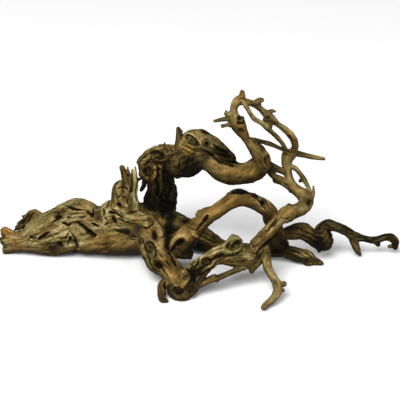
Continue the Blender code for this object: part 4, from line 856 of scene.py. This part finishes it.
unit = sheet["unit"]
tiltCos, tiltSin = math.cos(sheet["tilt"]), math.sin(sheet["tilt"])
midHeight = (sheet["floorLine"] - sheet["middle"][1]) / tiltCos
lookAhead = np.array([0, tiltCos, -tiltSin])
lookUp = np.array([0, tiltSin, tiltCos])
lookRight = np.array([1.0, 0, 0])
eyePoint = np.array([0, 0, midHeight]) - lookAhead * sheet["eye"]
dice = np.random.default_rng(carving["seed"])
noiseSlopes = dice.normal(size=(noiseCells, noiseCells, noiseCells, 3))
noiseSlopes /= np.linalg.norm(noiseSlopes, axis=3)[..., None]


def placeOnSheet(across, down, depth):
    # the place in units, with the floor at height 0, and how much larger things are there
    right = across - sheet["middle"][0]
    up = sheet["middle"][1] - down
    reach = sheet["eye"] * tiltCos
    share = (depth + reach) / (reach + up * tiltSin)
    height = midHeight + sheet["eye"] * tiltSin + share * (up * tiltCos - sheet["eye"] * tiltSin)
    return np.array([right * share, depth, height]), share


def seenOnSheet(points):
    # where points are drawn on the sheet, and how far they are ahead of the eye
    away = points - eyePoint
    ahead = away @ lookAhead
    across = sheet["middle"][0] + sheet["eye"] * away[:, 0] / ahead
    down = sheet["middle"][1] - sheet["eye"] * (away @ lookUp) / ahead
    return np.column_stack([across, down]), ahead


def noiseAt(points, size=1.0, shift=0.0):
    # smooth noise from about -0.7 to 0.7, with hills about one size apart; another shift is
    # another pattern
    places = points / size + shift
    cell = np.floor(places).astype(int)
    inside = places - cell
    fade = inside * inside * (3 - 2 * inside)
    total = np.zeros(len(points))
    for corner in np.ndindex(2, 2, 2):
        slope = noiseSlopes[tuple(((cell + corner) % noiseCells).T)]
        share = np.prod(np.where(corner, fade, 1 - fade), axis=1)
        total += share * (slope * (inside - corner)).sum(1)
    return total


def roundEnd(end, before):
    # three more points past a limb's end, which close it like a ball
    outward = end[:3] - before[:3]
    outward /= np.linalg.norm(outward)
    rows = []
    for angle in (0.5, 1.0, 1.4):
        rows.append([*(end[:3] + outward * end[3] * math.sin(angle)), end[3] * math.cos(angle)])
    return np.array(rows)


def smoothLine(drawn, steps):
    # a smooth row of points through the drawn ones
    drawn = np.array(drawn, float)
    padded = np.vstack([2 * drawn[0] - drawn[1], drawn, 2 * drawn[-1] - drawn[-2]])
    line = []
    for start in range(1, len(padded) - 2):
        before, here, after, beyond = padded[start - 1:start + 3]
        for t in np.linspace(0, 1, steps, endpoint=False):
            line.append(0.5 * (2 * here + (after - before) * t
                               + (2 * before - 5 * here + 4 * after - beyond) * t ** 2
                               + (3 * here - before - 3 * after + beyond) * t ** 3))
    line.append(drawn[-1])
    return np.array(line)


def limbRoute(rows):
    drawn = []
    for across, down, depth, radius in rows:
        place, share = placeOnSheet(across, down, depth)
        drawn.append([*place, radius * share])
    route = smoothLine(drawn, steps=8)
    return np.vstack([roundEnd(route[0], route[1])[::-1], route, roundEnd(route[-1], route[-2])])


def framesAlong(route):
    # directions along a route, and a side direction that doesn't turn round it
    along = np.gradient(route[:, :3], axis=0)
    along /= np.linalg.norm(along, axis=1)[:, None]
    side = np.zeros_like(along)
    current = np.cross(along[0], (0.0, 1.0, 0.3))
    for index, direction in enumerate(along):
        current = current - direction * current.dot(direction)
        current /= np.linalg.norm(current)
        side[index] = current
    return along, side


def applyModifier(thing, modifier):
    bpy.context.view_layer.objects.active = thing
    bpy.ops.object.modifier_apply(modifier=modifier.name)


def growBranch(routes):
    # all limbs as splines of one curve, made a mesh and given one skin
    curve = bpy.data.curves.new("branch", "CURVE")
    curve.dimensions = "3D"
    curve.bevel_depth = unit
    curve.bevel_resolution = 6
    curve.use_fill_caps = True
    for route in routes.values():
        spline = curve.splines.new("POLY")
        spline.points.add(len(route) - 1)
        for point, (x, y, z, radius) in zip(spline.points, route):
            point.co = (x * unit, y * unit, z * unit, 1)
            point.radius = radius
    branch = bpy.data.objects.new("branch", curve)
    bpy.context.scene.collection.objects.link(branch)
    bpy.ops.object.select_all(action="DESELECT")
    branch.select_set(True)
    bpy.context.view_layer.objects.active = branch
    bpy.ops.object.convert(target="MESH")
    bpy.ops.object.mode_set(mode="EDIT")
    bpy.ops.mesh.select_all(action="SELECT")
    bpy.ops.mesh.remove_doubles(threshold=0.00001)
    bpy.ops.object.mode_set(mode="OBJECT")
    remesh = branch.modifiers.new("one skin", "REMESH")
    remesh.mode = "VOXEL"
    remesh.voxel_size = carving["voxel"]
    applyModifier(branch, remesh)
    soften = branch.modifiers.new("soften", "SMOOTH")
    soften.iterations = 2
    applyModifier(branch, soften)
    return branch


def readRows(things, name, width, kind=float):
    flat = np.empty(len(things) * width, kind)
    things.foreach_get(name, flat)
    return flat.reshape(-1, width)


def readSkin(mesh):
    return readRows(mesh.vertices, "co", 3), readRows(mesh.vertex_normals, "vector", 3)


def storeValues(mesh, name, values):
    single = values.ndim == 1
    attribute = mesh.attributes.new(name, "FLOAT" if single else "FLOAT_VECTOR", "POINT")
    attribute.data.foreach_set("value" if single else "vector", values.astype(np.float32).ravel())


def routeSteps(route):
    return np.linalg.norm(np.diff(route[:, :3], axis=0), axis=1)


def measureLimb(points, number, route):
    # for the points near a limb: their numbers, distance to its skin, radius and direction there,
    # and their place along it and round it, as on a straight limb
    along, side = framesAlong(route)
    length = np.concatenate([[0], np.cumsum(routeSteps(route))])
    reach = route[:, 3].max() + carving["limbReach"]
    low, high = route[:, :3].min(axis=0) - reach, route[:, :3].max(axis=0) + reach
    near = np.flatnonzero(((points > low) & (points < high)).all(axis=1))
    close = points[near]
    apart = np.linalg.norm(close[:, None, :] - route[None, :, :3], axis=2)
    nearest = np.argmin(apart - route[None, :, 3], axis=1)
    spare = apart[np.arange(len(close)), nearest] - route[nearest, 3]
    kept = spare < carving["limbReach"]
    near, close, nearest, spare = near[kept], close[kept], nearest[kept], spare[kept]
    offset = close - route[nearest, :3]
    other = np.cross(along[nearest], side[nearest])
    run = length[nearest] + (offset * along[nearest]).sum(1)
    mean = route[:, 3].mean()
    angle = np.arctan2((offset * other).sum(1), (offset * side[nearest]).sum(1))
    angle += carving["strandTwist"] * run / mean + limbTurn * number
    straight = np.column_stack([run + limbPattern * number, mean * np.cos(angle), mean * np.sin(angle)])
    return near, spare, route[nearest, 3], along[nearest], straight


def strandRelief(straight, radius, share):
    # the height of the strands that run along a limb, and how deep in a seam each point lies
    width, length = carving["strandWidth"], carving["strandLength"]
    sway = np.column_stack([
        np.zeros(len(straight)),
        noiseAt(straight, carving["swaySize"]),
        noiseAt(straight, carving["swaySize"], 9.4),
    ])
    bent = straight + carving["strandSway"] * sway
    wide = noiseAt(bent, (length * 1.5, width * 2.3, width * 2.3))
    strand = noiseAt(bent, (length, width, width))
    opened = noiseAt(bent, carving["seamPatches"], 5.5)
    fine = noiseAt(straight, (carving["fineLength"], carving["fineWidth"], carving["fineWidth"]))
    seam = np.exp(-(strand / carving["seamWidth"]) ** 2) * np.clip(opened * 4 + 0.35, 0, 1)
    highest = np.minimum(radius, carving["strandRadius"]) * carving["strandHeight"]
    height = highest * share * (0.9 * wide - 0.55 * seam)
    height += np.minimum(carving["fineHeight"], radius * 0.1) * fine * (0.5 + 0.5 * share)
    return height, seam


def splinters(straight, along, ends, number, route):
    # the way that a limb's broken ends are drawn out in splinters
    run = straight[:, 0] - limbPattern * number
    mean = route[:, 3].mean()
    rough = 1.8 * noiseAt(straight * (0.12, 0.8, 0.8), shift=2.5) + 0.2
    first = ends[0] * np.clip(1.6 - run / mean, 0, 1)
    last = ends[1] * np.clip(1.6 - (routeSteps(route).sum() - run) / mean, 0, 1)
    return along * (rough * (last - first))[:, None]


def dressLimbs(points, routes):
    # for each point, blended between the limbs: strand height, seam, lightness, warmth, strand
    # share and splinters, and its strongest limb's radius and direction
    sums = np.zeros((len(points), 8))
    weights = np.full(len(points), 1e-9)
    strongest = np.zeros(len(points))
    radii, directions = np.ones(len(points)), np.zeros((len(points), 3))
    for number, (name, route) in enumerate(routes.items()):
        near, spare, radius, along, straight = measureLimb(points, number, route)
        share, light, warm = dress.get(name, plainDress)
        height, seam = strandRelief(straight, radius, share)
        strength = np.exp(-np.maximum(spare, -3) / carving["limbBlend"])
        weight = strength * np.minimum(radius, carving["wideLimb"])
        same = np.ones(len(near))
        drawn = splinters(straight, along, brokenEnds.get(name, (0, 0)), number, route)
        values = np.column_stack([height, seam, light * same, warm * same, share * same, drawn])
        sums[near] += weight[:, None] * values
        weights[near] += weight
        stronger = weight > strongest[near]
        chosen = near[stronger]
        strongest[chosen] = weight[stronger]
        radii[chosen] = radius[stronger]
        directions[chosen] = along[stronger]
    return sums / weights[:, None], radii, directions


def limbPlaces(points, routes):
    # each point's place on the straightened limb that it belongs to
    best = np.full(len(points), 1e9)
    places = np.zeros((len(points), 3))
    for number, route in enumerate(routes.values()):
        near, spare, _, _, straight = measureLimb(points, number, route)
        closer = spare < best[near]
        chosen = near[closer]
        best[chosen] = spare[closer]
        places[chosen] = straight[closer]
    return places


def seenByEye(spots, ahead, normals):
    # how squarely each point faces the eye, or 0 where another part hides it
    cellSize, rowLength, margin, hidingGap = 1.5, 400, 8, 4
    cell = np.floor(spots / cellSize).astype(int)
    index = (cell[:, 0] + margin) * rowLength + cell[:, 1] + margin
    nearest = np.full(rowLength * rowLength, 1e9)
    np.minimum.at(nearest, index, ahead)
    facing = np.clip((0.15 - normals @ lookAhead) / 0.35, 0, 1)
    return facing * (ahead < nearest[index] + hidingGap)


def withinBox(spots, low, high, edge):
    return np.flatnonzero(((spots > low - edge) & (spots < high + edge)).all(axis=1))


def gapToLine(spots, line):
    # each spot's distance from a drawn line, in the line's half widths there
    best = np.full(len(spots), 9.0)  # at most
    for start, end in zip(line[:-1], line[1:]):
        step = end[:2] - start[:2]
        share = np.clip(((spots - start[:2]) @ step) / (step @ step), 0, 1)
        apart = np.linalg.norm(spots - start[:2] - share[:, None] * step, axis=1)
        best = np.minimum(best, apart / (start[2] + share * (end[2] - start[2])))
    return best


def gapToOval(offsets, wide, high, turn):
    # each offset's distance from an oval's middle, where 1 is its edge
    turned = math.radians(turn)
    first = offsets @ np.array([math.cos(turned), math.sin(turned)]) / wide
    second = offsets @ np.array([-math.sin(turned), math.cos(turned)]) / high
    return np.hypot(first, second)


def besideLine(rows, spots, ragged, seen):
    # the points in view that lie near a drawn line, and their gaps to it
    line = smoothLine(rows, steps=4)
    near = withinBox(spots, line[:, :2].min(axis=0), line[:, :2].max(axis=0), edge=6)
    near = near[seen[near] > 0]
    return near, gapToLine(ragged[near], line)


def besideOval(oval, spots, ragged, seen, reach):
    # the points in view that lie near a drawn oval, and their gaps to its middle
    across, down, wide, high, turn = oval
    middle = np.array([across, down])
    near = withinBox(spots, middle, middle, reach * max(wide, high))
    near = near[seen[near] > 0]
    return near, gapToOval(ragged[near] - middle, wide, high, turn)


def crackProfile(gap, depth):
    # a groove between two low lips
    lips = np.exp(-((gap - 2.2) / 0.8) ** 2)
    return -depth * np.exp(-(gap / 0.95) ** 2) + carving["lip"] * depth * lips


def holeProfile(gap, depth):
    # a steep pit in a raised rim
    rim = np.exp(-((gap - 1.35) / 0.28) ** 2)
    return -depth / (1 + np.exp((gap - 0.8) * 9)) + 0.3 * depth * rim


def knotProfile(gap, depth):
    # fine rings and a dimple in a swollen rim
    ripple = 0.22 * np.cos(gap * 9.0) * (gap < 1.2)
    swelling = 0.55 * np.exp(-((gap - 1.15) / 0.3) ** 2)
    return depth * (ripple + swelling - 0.9 * np.exp(-(gap / 0.32) ** 2) - 0.25 * (gap < 1))


def crackMark(gap, depth):
    # a shallow crack gets less painted shade than a deep one
    return gap + np.clip(1.25 - 0.8 * depth, 0, 0.8)


def keepNearest(mark, near, gap):
    mark[near] = np.minimum(mark[near], gap)


def carveDrawn(points, spots, seen, light, marks):
    # pushes the drawn cracks, ridges, holes and knots in or out; marks keeps each point's nearest
    # crack or hole and its nearest knot, as distances in half widths
    size = carving["raggedSize"]
    ragged = spots + carving["ragged"] * np.column_stack([noiseAt(points, size), noiseAt(points, size, 7.3)])
    push = np.zeros(len(spots))
    for depth, rows in cracks.values():
        near, gap = besideLine(rows, spots, ragged, seen)
        gap = gap * marks["width"][near]
        push[near] += crackProfile(gap, depth)
        keepNearest(marks["gap"], near, crackMark(gap, depth))
    for height, rows in ridges.values():
        near, gap = besideLine(rows, spots, ragged, seen)
        share = np.exp(-gap ** 2)
        push[near] += carving["ridgeGrowth"] * height * share
        # paler wood with a painted highlight along the ridge
        light[near] += carving["ridgeLight"] * height * share
    for drawn, profile, mark in ((holes, holeProfile, "gap"), (knots, knotProfile, "knot")):
        for *oval, depth in drawn.values():
            near, gap = besideOval(oval, spots, ragged, seen, reach=3)
            push[near] += profile(gap, depth)
            keepNearest(marks[mark], near, gap)
    return push * seen


# stains, and patches of painted shade and painted light, in the lightness and warmth
def paintStainsShadeAndLight(spots, seen, light, warm):
    for *oval, lighter, warmer in stainsAndPaintedLight.values():
        near, gap = besideOval(oval, spots, spots, seen, reach=2.2)
        share = np.exp(-gap ** 2)
        light[near] += share * lighter
        warm[near] += share * warmer


def carveHidden(points, normals, seen, radii, directions, marks):
    # knots and cracks at random on the sides that the sheet doesn't show
    push = np.zeros(len(points))
    wholesome = np.flatnonzero((seen == 0) & (radii > 3) & (points[:, 2] > 3))
    for number in range(carving["hiddenKnots"] + carving["hiddenCracks"]):
        centre = dice.choice(wholesome)
        isKnot = number < carving["hiddenKnots"]
        largest = min(radii[centre] * carving["hiddenKnotShare"], carving["hiddenKnotLimit"])
        size = largest * dice.uniform(0.5, 1.0)
        half = dice.uniform(*carving["hiddenCrackHalf"]) * min(1, radii[centre] / 8)
        offset = points - points[centre]
        reach = 3 * size if isKnot else half + 4
        near = np.flatnonzero(((offset ** 2).sum(1) < reach ** 2) & (seen == 0))
        near = near[normals[near] @ normals[centre] > 0.2]
        across = np.cross(normals[centre], directions[centre])
        flat = np.column_stack([offset[near] @ directions[centre], offset[near] @ across])
        flat += 0.5 * np.column_stack([noiseAt(points[near], 1.9), noiseAt(points[near], 1.9, 3.1)])
        if isKnot:
            gap = gapToOval(flat, size * 1.25, size, 0)
            push[near] += knotProfile(gap, size * 0.35)
            keepNearest(marks["knot"], near, gap)
        else:
            bow = dice.uniform(-2, 2)
            widest = min(0.4 + radii[centre] * 0.06, carving["hiddenCrackWidth"])
            width = widest * dice.uniform(0.6, 1.2)
            depth = width * carving["hiddenCrackDepth"]
            line = smoothLine([(-half, 0, 0.3), (0, bow, width), (half, -bow, 0.3)], steps=4)
            gap = gapToLine(flat, line) * marks["width"][near]
            push[near] += crackProfile(gap, depth)
            keepNearest(marks["gap"], near, crackMark(gap, depth))
    return push


def pullSkin(points, spots, ahead):
    for across, down, radius, right, below in pulls.values():
        middle = np.array([across, down])
        near = withinBox(spots, middle, middle, 2.5 * radius)
        near = near[ahead[near] < ahead[near].min() + carving["pullDepth"]]
        share = np.exp(-((spots[near] - middle) ** 2).sum(1) / radius ** 2)
        points[near] += share[:, None] * (right * lookRight - below * lookUp)


def cutAtFloor():
    bpy.ops.object.mode_set(mode="EDIT")
    bpy.ops.mesh.select_all(action="SELECT")
    bpy.ops.mesh.bisect(plane_co=(0, 0, 0), plane_no=(0, 0, 1), use_fill=True, clear_inner=True)
    bpy.ops.mesh.select_all(action="SELECT")
    bpy.ops.mesh.quads_convert_to_tris()
    bpy.ops.object.mode_set(mode="OBJECT")


def skyRays():
    # directions to the sky, in rings that lean towards the front
    rays = []
    for rise, turns in carving["skyRings"]:
        level, up = math.cos(math.radians(rise)), math.sin(math.radians(rise))
        for turn in range(turns):
            angle = 2 * math.pi * (turn + 0.3) / turns
            ray = Vector((level * math.cos(angle), level * math.sin(angle) - carving["skyLean"], up))
            rays.append(ray.normalized())
    return rays


def skyShare(mesh):
    # how much of the sky over the front each point sees; the wood is painted darker there, as shade, where
    # it sees little
    points, normals = readSkin(mesh)
    tree = BVHTree.FromPolygons(points.tolist(), [tuple(face.vertices) for face in mesh.polygons])
    total = np.zeros(len(points))
    rays = skyRays()
    for ray in rays:
        lit = np.clip(normals @ np.array(ray), 0, 1)
        for index in np.flatnonzero(lit > 0.02).tolist():
            start = Vector(points[index] + normals[index] * carving["skyLift"])
            if tree.ray_cast(start, ray, carving["skyReach"])[0] is None:
                total[index] += lit[index]
    total /= len(rays) * 0.5  # half of all the rays is full light
    edges = readRows(mesh.edges, "vertices", 2, int)
    counts = np.maximum(np.bincount(edges.ravel(), minlength=len(points)), 1)
    taken = carving["skySpread"]
    for _ in range(3):
        sums = np.bincount(edges[:, 0], total[edges[:, 1]], len(points))
        sums += np.bincount(edges[:, 1], total[edges[:, 0]], len(points))
        total = (1 - taken) * total + taken * sums / counts
    return np.clip(total, 0, 1)


routes = {name: limbRoute(rows) for name, rows in limbs.items()}
branch = growBranch(routes)
print("one skin:", len(branch.data.vertices), "points")

points, normals = readSkin(branch.data)
points = points / unit
blend, radii, directions = dressLimbs(points, routes)
height, seam, light, warm, strandShare = blend[:, :5].T.copy()
height += noiseAt(points, carving["lumpSize"]) * carving["lumpHeight"]
knobHeight = np.minimum(carving["knobHeight"], radii * 0.12)
height += noiseAt(points, carving["knobSize"]) * knobHeight * (0.3 + strandShare)
height += carving["swell"]
spots, ahead = seenOnSheet(points)
seen = seenByEye(spots, ahead, normals)
marks = {
    "gap": np.full(len(points), farGap),
    "knot": np.full(len(points), farGap),
    "width": np.exp(0.9 * noiseAt(points, 3.1, 4.4)),  # narrows and widens the cracks on their way
}
inward = carveDrawn(points, spots, seen, light, marks)
paintStainsShadeAndLight(spots, seen, light, warm)
height += carveHidden(points, normals, seen, radii, directions, marks)
carved = points + blend[:, 5:] + normals * height[:, None] - (lookAhead - normals) * 0.5 * inward[:, None]
pullSkin(carved, spots, ahead)
branch.data.vertices.foreach_set("co", (carved * unit).ravel())
storeValues(branch.data, "crease", seam)
storeValues(branch.data, "gap", marks["gap"])
storeValues(branch.data, "knot", marks["knot"])
storeValues(branch.data, "tone", np.column_stack([light, warm, strandShare]))
branch.data.update()
print("carved")

branch.data.calc_loop_triangles()
fewer = branch.modifiers.new("fewer faces", "DECIMATE")
fewer.ratio = min(1.0, carving["triangles"] / len(branch.data.loop_triangles))
applyModifier(branch, fewer)
cutAtFloor()
points = readRows(branch.data.vertices, "co", 3) / unit
storeValues(branch.data, "grain", limbPlaces(points, routes) * unit)
# the share of sky seen, which the wood turns into painted shade
storeValues(branch.data, "sky", skyShare(branch.data))
branch.data.transform(Matrix.Translation(Vector(sheet["shift"])))
bpy.ops.object.shade_smooth()
branch.data.calc_loop_triangles()
print("triangles:", len(branch.data.loop_triangles))


class Wire:  # a socket of a material's nodes, which takes + - and * as a number does
    tree = None

    def __init__(self, socket):
        self.socket = socket

    @classmethod
    def node(cls, kind, settings, inputs, output=0):
        made = cls.tree.nodes.new("ShaderNode" + kind)
        for name, value in settings.items():
            if name == "stops":
                stops = made.color_ramp.elements
                for index, (place, colour) in enumerate(value):
                    stop = stops[index] if index < 2 else stops.new(place)
                    stop.position = place
                    stop.color = colour
            else:
                setattr(made, name, value)
        for name, value in inputs.items():
            if isinstance(value, Wire):
                cls.tree.links.new(value.socket, made.inputs[name])
            else:
                made.inputs[name].default_value = value
        return cls(made.outputs[output])

    def maths(self, operation, first, second):
        return Wire.node("Math", {"operation": operation}, {0: first, 1: second})

    def __add__(self, other):
        return self.maths("ADD", self, other)

    def __sub__(self, other):
        return self.maths("SUBTRACT", self, other)

    def __rsub__(self, other):
        return self.maths("SUBTRACT", other, self)

    def __mul__(self, other):
        return self.maths("MULTIPLY", self, other)

    __radd__ = __add__
    __rmul__ = __mul__


wood = {
    "ramp": [  # from black, where the painted shade is deepest, to bleached
        (0.0, (0.004, 0.0034, 0.0016, 1)),
        (1.0, (0.56, 0.475, 0.285, 1)),
        (0.22, (0.029, 0.0206, 0.0062, 1)),
        (0.45, (0.092, 0.0648, 0.0196, 1)),
        (0.66, (0.199, 0.149, 0.056, 1)),
        (0.84, (0.355, 0.287, 0.138, 1)),
    ],
    "warmTint": (1.22, 0.93, 0.62, 1),
    "greenTint": (0.88, 1.02, 0.84, 1),
    "blotches": {"Scale": 75.0, "Detail": 3.0},
    "hues": {"Scale": 38.0, "Detail": 2.0},
    "speckles": {"Scale": 260.0, "Detail": 2.0, "Roughness": 0.6},
    "streaks": {"Scale": 1.0, "Detail": 3.0, "Roughness": 0.65},
    "fibres": {"Scale": 1.0, "Detail": 3.0, "Roughness": 0.6},
    "streakScale": (28.0, 230.0, 230.0),  # along the grain, then across it; larger is finer
    "fibreScale": (110.0, 850.0, 850.0),
    "pitScale": (70.0, 150.0, 150.0),
    "streakShare": 1.15,  # how much each pattern changes the lightness
    "speckleShare": 0.35,
    "fibreShare": 0.4,
    "blotchShare": 0.6,
    "hueShare": 1.8,
    # painted shade: in the seams between strands, in small pits, in the bottoms of the cracks and holes and
    # beside them, and where little sky is seen
    "seamShade": 0.3,
    "pitShade": 0.35,
    "lipLight": 0.08,
    "crackShade": 0.9,
    "crackSideShade": 0.25,
    "skyShade": 0.22,  # share of the lightness left by the painted shade where no sky is seen
    "roughness": 0.72,
    "shine": 0.05,
    "bumpStrength": 0.8,
    "bumpHeight": 0.002,  # metres
}


def spread(value, low, high):
    # 0 at low and 1 at high, clamped
    return Wire.node("MapRange", {}, {"Value": value, "From Min": low, "From Max": high})


def band(value, middle, half):
    # 1 at the middle and 0 at half a band's width from it
    return spread(value, middle - half, middle) * spread(value, middle + half, middle)


def tinted(share, colour, tint):
    settings = {"data_type": "RGBA", "blend_type": "MULTIPLY"}
    return Wire.node("Mix", settings, {0: share, 6: colour, 7: tint}, 2)


def stored(name, output=2):
    return Wire.node("Attribute", {"attribute_name": name}, {}, output)


def part(vector, index):
    return Wire.node("SeparateXYZ", {}, {0: vector}, index)


def noise(place, looks):
    return Wire.node("TexNoise", {}, {"Vector": place, **looks})


def stretched(place, scale):
    return Wire.node("Mapping", {}, {"Vector": place, "Scale": scale})


def makeWood():
    material = bpy.data.materials.new("wood with painted shade")
    material.use_nodes = True
    Wire.tree = material.node_tree
    shader = material.node_tree.nodes["Principled BSDF"]
    grain, tone = stored("grain", 1), stored("tone", 1)
    light, warm, rough = part(tone, 0), part(tone, 1), part(tone, 2) * 0.75 + 0.3
    place = Wire.node("TexCoord", {}, {}, 3)
    blotch = noise(place, wood["blotches"])
    speckle = noise(place, wood["speckles"])
    streak = noise(stretched(grain, wood["streakScale"]), wood["streaks"])
    fine = noise(stretched(grain, wood["fibreScale"]), wood["fibres"])
    pits = Wire.node("TexVoronoi", {}, {"Vector": stretched(grain, wood["pitScale"]), "Scale": 1.0})
    edge = fine - 0.5
    grit = speckle - 0.5

    # weathered skin, with painted shade in the seams between strands, in small pits and where little sky is
    # seen
    texture = (streak - 0.5) * wood["streakShare"] + grit * wood["speckleShare"] + edge * wood["fibreShare"]
    value = light + texture * rough + (blotch - 0.5) * wood["blotchShare"]
    value = value - stored("crease") * rough * wood["seamShade"]
    value = value - spread(pits, 0.2, 0.08) * spread(blotch, 0.46, 0.6) * wood["pitShade"]
    value = value * (spread(stored("sky"), 0.02, 0.8) * (1 - wood["skyShade"]) + wood["skyShade"])

    # pale lips of the cracks and holes, and painted shade in their bottoms and on their sides
    gap = stored("gap")
    value = value + band(gap, 2.1, 0.9) * wood["lipLight"]
    ragged = gap + edge * 0.7 + grit * 0.9
    dark = spread(ragged, 1.3, 0.5)
    halo = spread(ragged, 2.3, 1.0)

    # two dark rings round a dark heart in each knot, with a pale rim
    ring = stored("knot") + edge * 0.2 + grit * 0.3
    value = value - (band(ring, 1.0, 0.3) * 0.42 + band(ring, 0.6, 0.2) * 0.24) * spread(speckle, 0.3, 0.55)
    value = value - spread(ring, 0.4, 0.15) * 0.45 - spread(ring, 1.1, 0.9) * 0.08
    value = value + band(ring, 1.5, 0.35) * 0.07
    # painted shade in the cracks and holes, and beside them
    value = value * (1 - halo * wood["crackSideShade"]) * (1 - dark * wood["crackShade"])

    colour = Wire.node("ValToRGB", {"stops": wood["ramp"]}, {0: value})
    shift = warm + (noise(place, wood["hues"]) - 0.5) * wood["hueShare"]
    colour = tinted(spread(shift, 0.0, 1.0), colour, wood["warmTint"])
    colour = tinted(spread(shift, 0.0, -1.0), colour, wood["greenTint"])
    height = fine * 0.4 + streak + speckle * 0.5 - dark * 0.5
    relief = {"Height": height, "Strength": wood["bumpStrength"], "Distance": wood["bumpHeight"]}
    bump = Wire.node("Bump", {}, relief)
    links = material.node_tree.links
    links.new(colour.socket, shader.inputs["Base Color"])
    links.new(bump.socket, shader.inputs["Normal"])
    shader.inputs["Roughness"].default_value = wood["roughness"]
    shader.inputs["Specular IOR Level"].default_value = wood["shine"]
    return material


branch.data.materials.clear()
branch.data.materials.append(makeWood())
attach(branch, "root")
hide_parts("grapewood")
print("wood made")

studio = {
    "floorSize": 12,  # metres
    "floorColour": (0.93, 0.93, 0.93, 1),
    "floorRoughness": 0.9,
    "worldStrength": 0.36,
    "lights": {  # place, size and watts
        "key light": ((-1.8, -4.4, 5.8), 5.2, 700.0),
        "fill light": ((1.4, -1.4, 1.2), 1.2, 10.0),
    },
    "lightAim": (0, 0, 0.1),
    "filmWidth": 36,  # millimetres
    "pictureWidth": 400,  # units
}


def addFloor():
    bpy.ops.object.select_all(action="DESELECT")
    bpy.ops.mesh.primitive_plane_add(size=studio["floorSize"], location=(0, 0, 0))
    floor = bpy.context.object
    floor.name = "floor"
    material = bpy.data.materials.new("pale floor")
    material.use_nodes = True
    shader = material.node_tree.nodes["Principled BSDF"]
    shader.inputs["Base Color"].default_value = studio["floorColour"]
    shader.inputs["Roughness"].default_value = studio["floorRoughness"]
    floor.data.materials.append(material)


def addLight(name, place, size, watts):
    light = bpy.data.lights.new(name, "AREA")
    light.shape = "DISK"
    light.size = size
    light.energy = watts
    lamp = bpy.data.objects.new(name, light)
    bpy.context.scene.collection.objects.link(lamp)
    lamp.location = place
    lamp.rotation_euler = (Vector(place) - Vector(studio["lightAim"])).to_track_quat("Z", "Y").to_euler()


def addWorld():
    world = bpy.data.worlds.new("soft studio")
    bpy.context.scene.world = world
    world.use_nodes = True
    background = world.node_tree.nodes["Background"]
    background.inputs["Color"].default_value = (1, 1, 1, 1)
    background.inputs["Strength"].default_value = studio["worldStrength"]


def addCamera():
    # the sheet's own eye, with a picture as wide as the sheet
    lens = bpy.data.cameras.new("camera")
    lens.sensor_fit = "HORIZONTAL"
    lens.sensor_width = studio["filmWidth"]
    lens.lens = studio["filmWidth"] * sheet["eye"] / studio["pictureWidth"]
    camera = bpy.data.objects.new("camera", lens)
    bpy.context.scene.collection.objects.link(camera)
    camera.location = Vector(eyePoint * unit) + Vector(sheet["shift"])
    camera.rotation_euler = Vector(-lookAhead).to_track_quat("Z", "Y").to_euler()
    bpy.context.scene.camera = camera


addFloor()
addWorld()
for name, (place, size, watts) in studio["lights"].items():
    addLight(name, place, size, watts)
addCamera()
bpy.context.scene.view_settings.view_transform = "Standard"
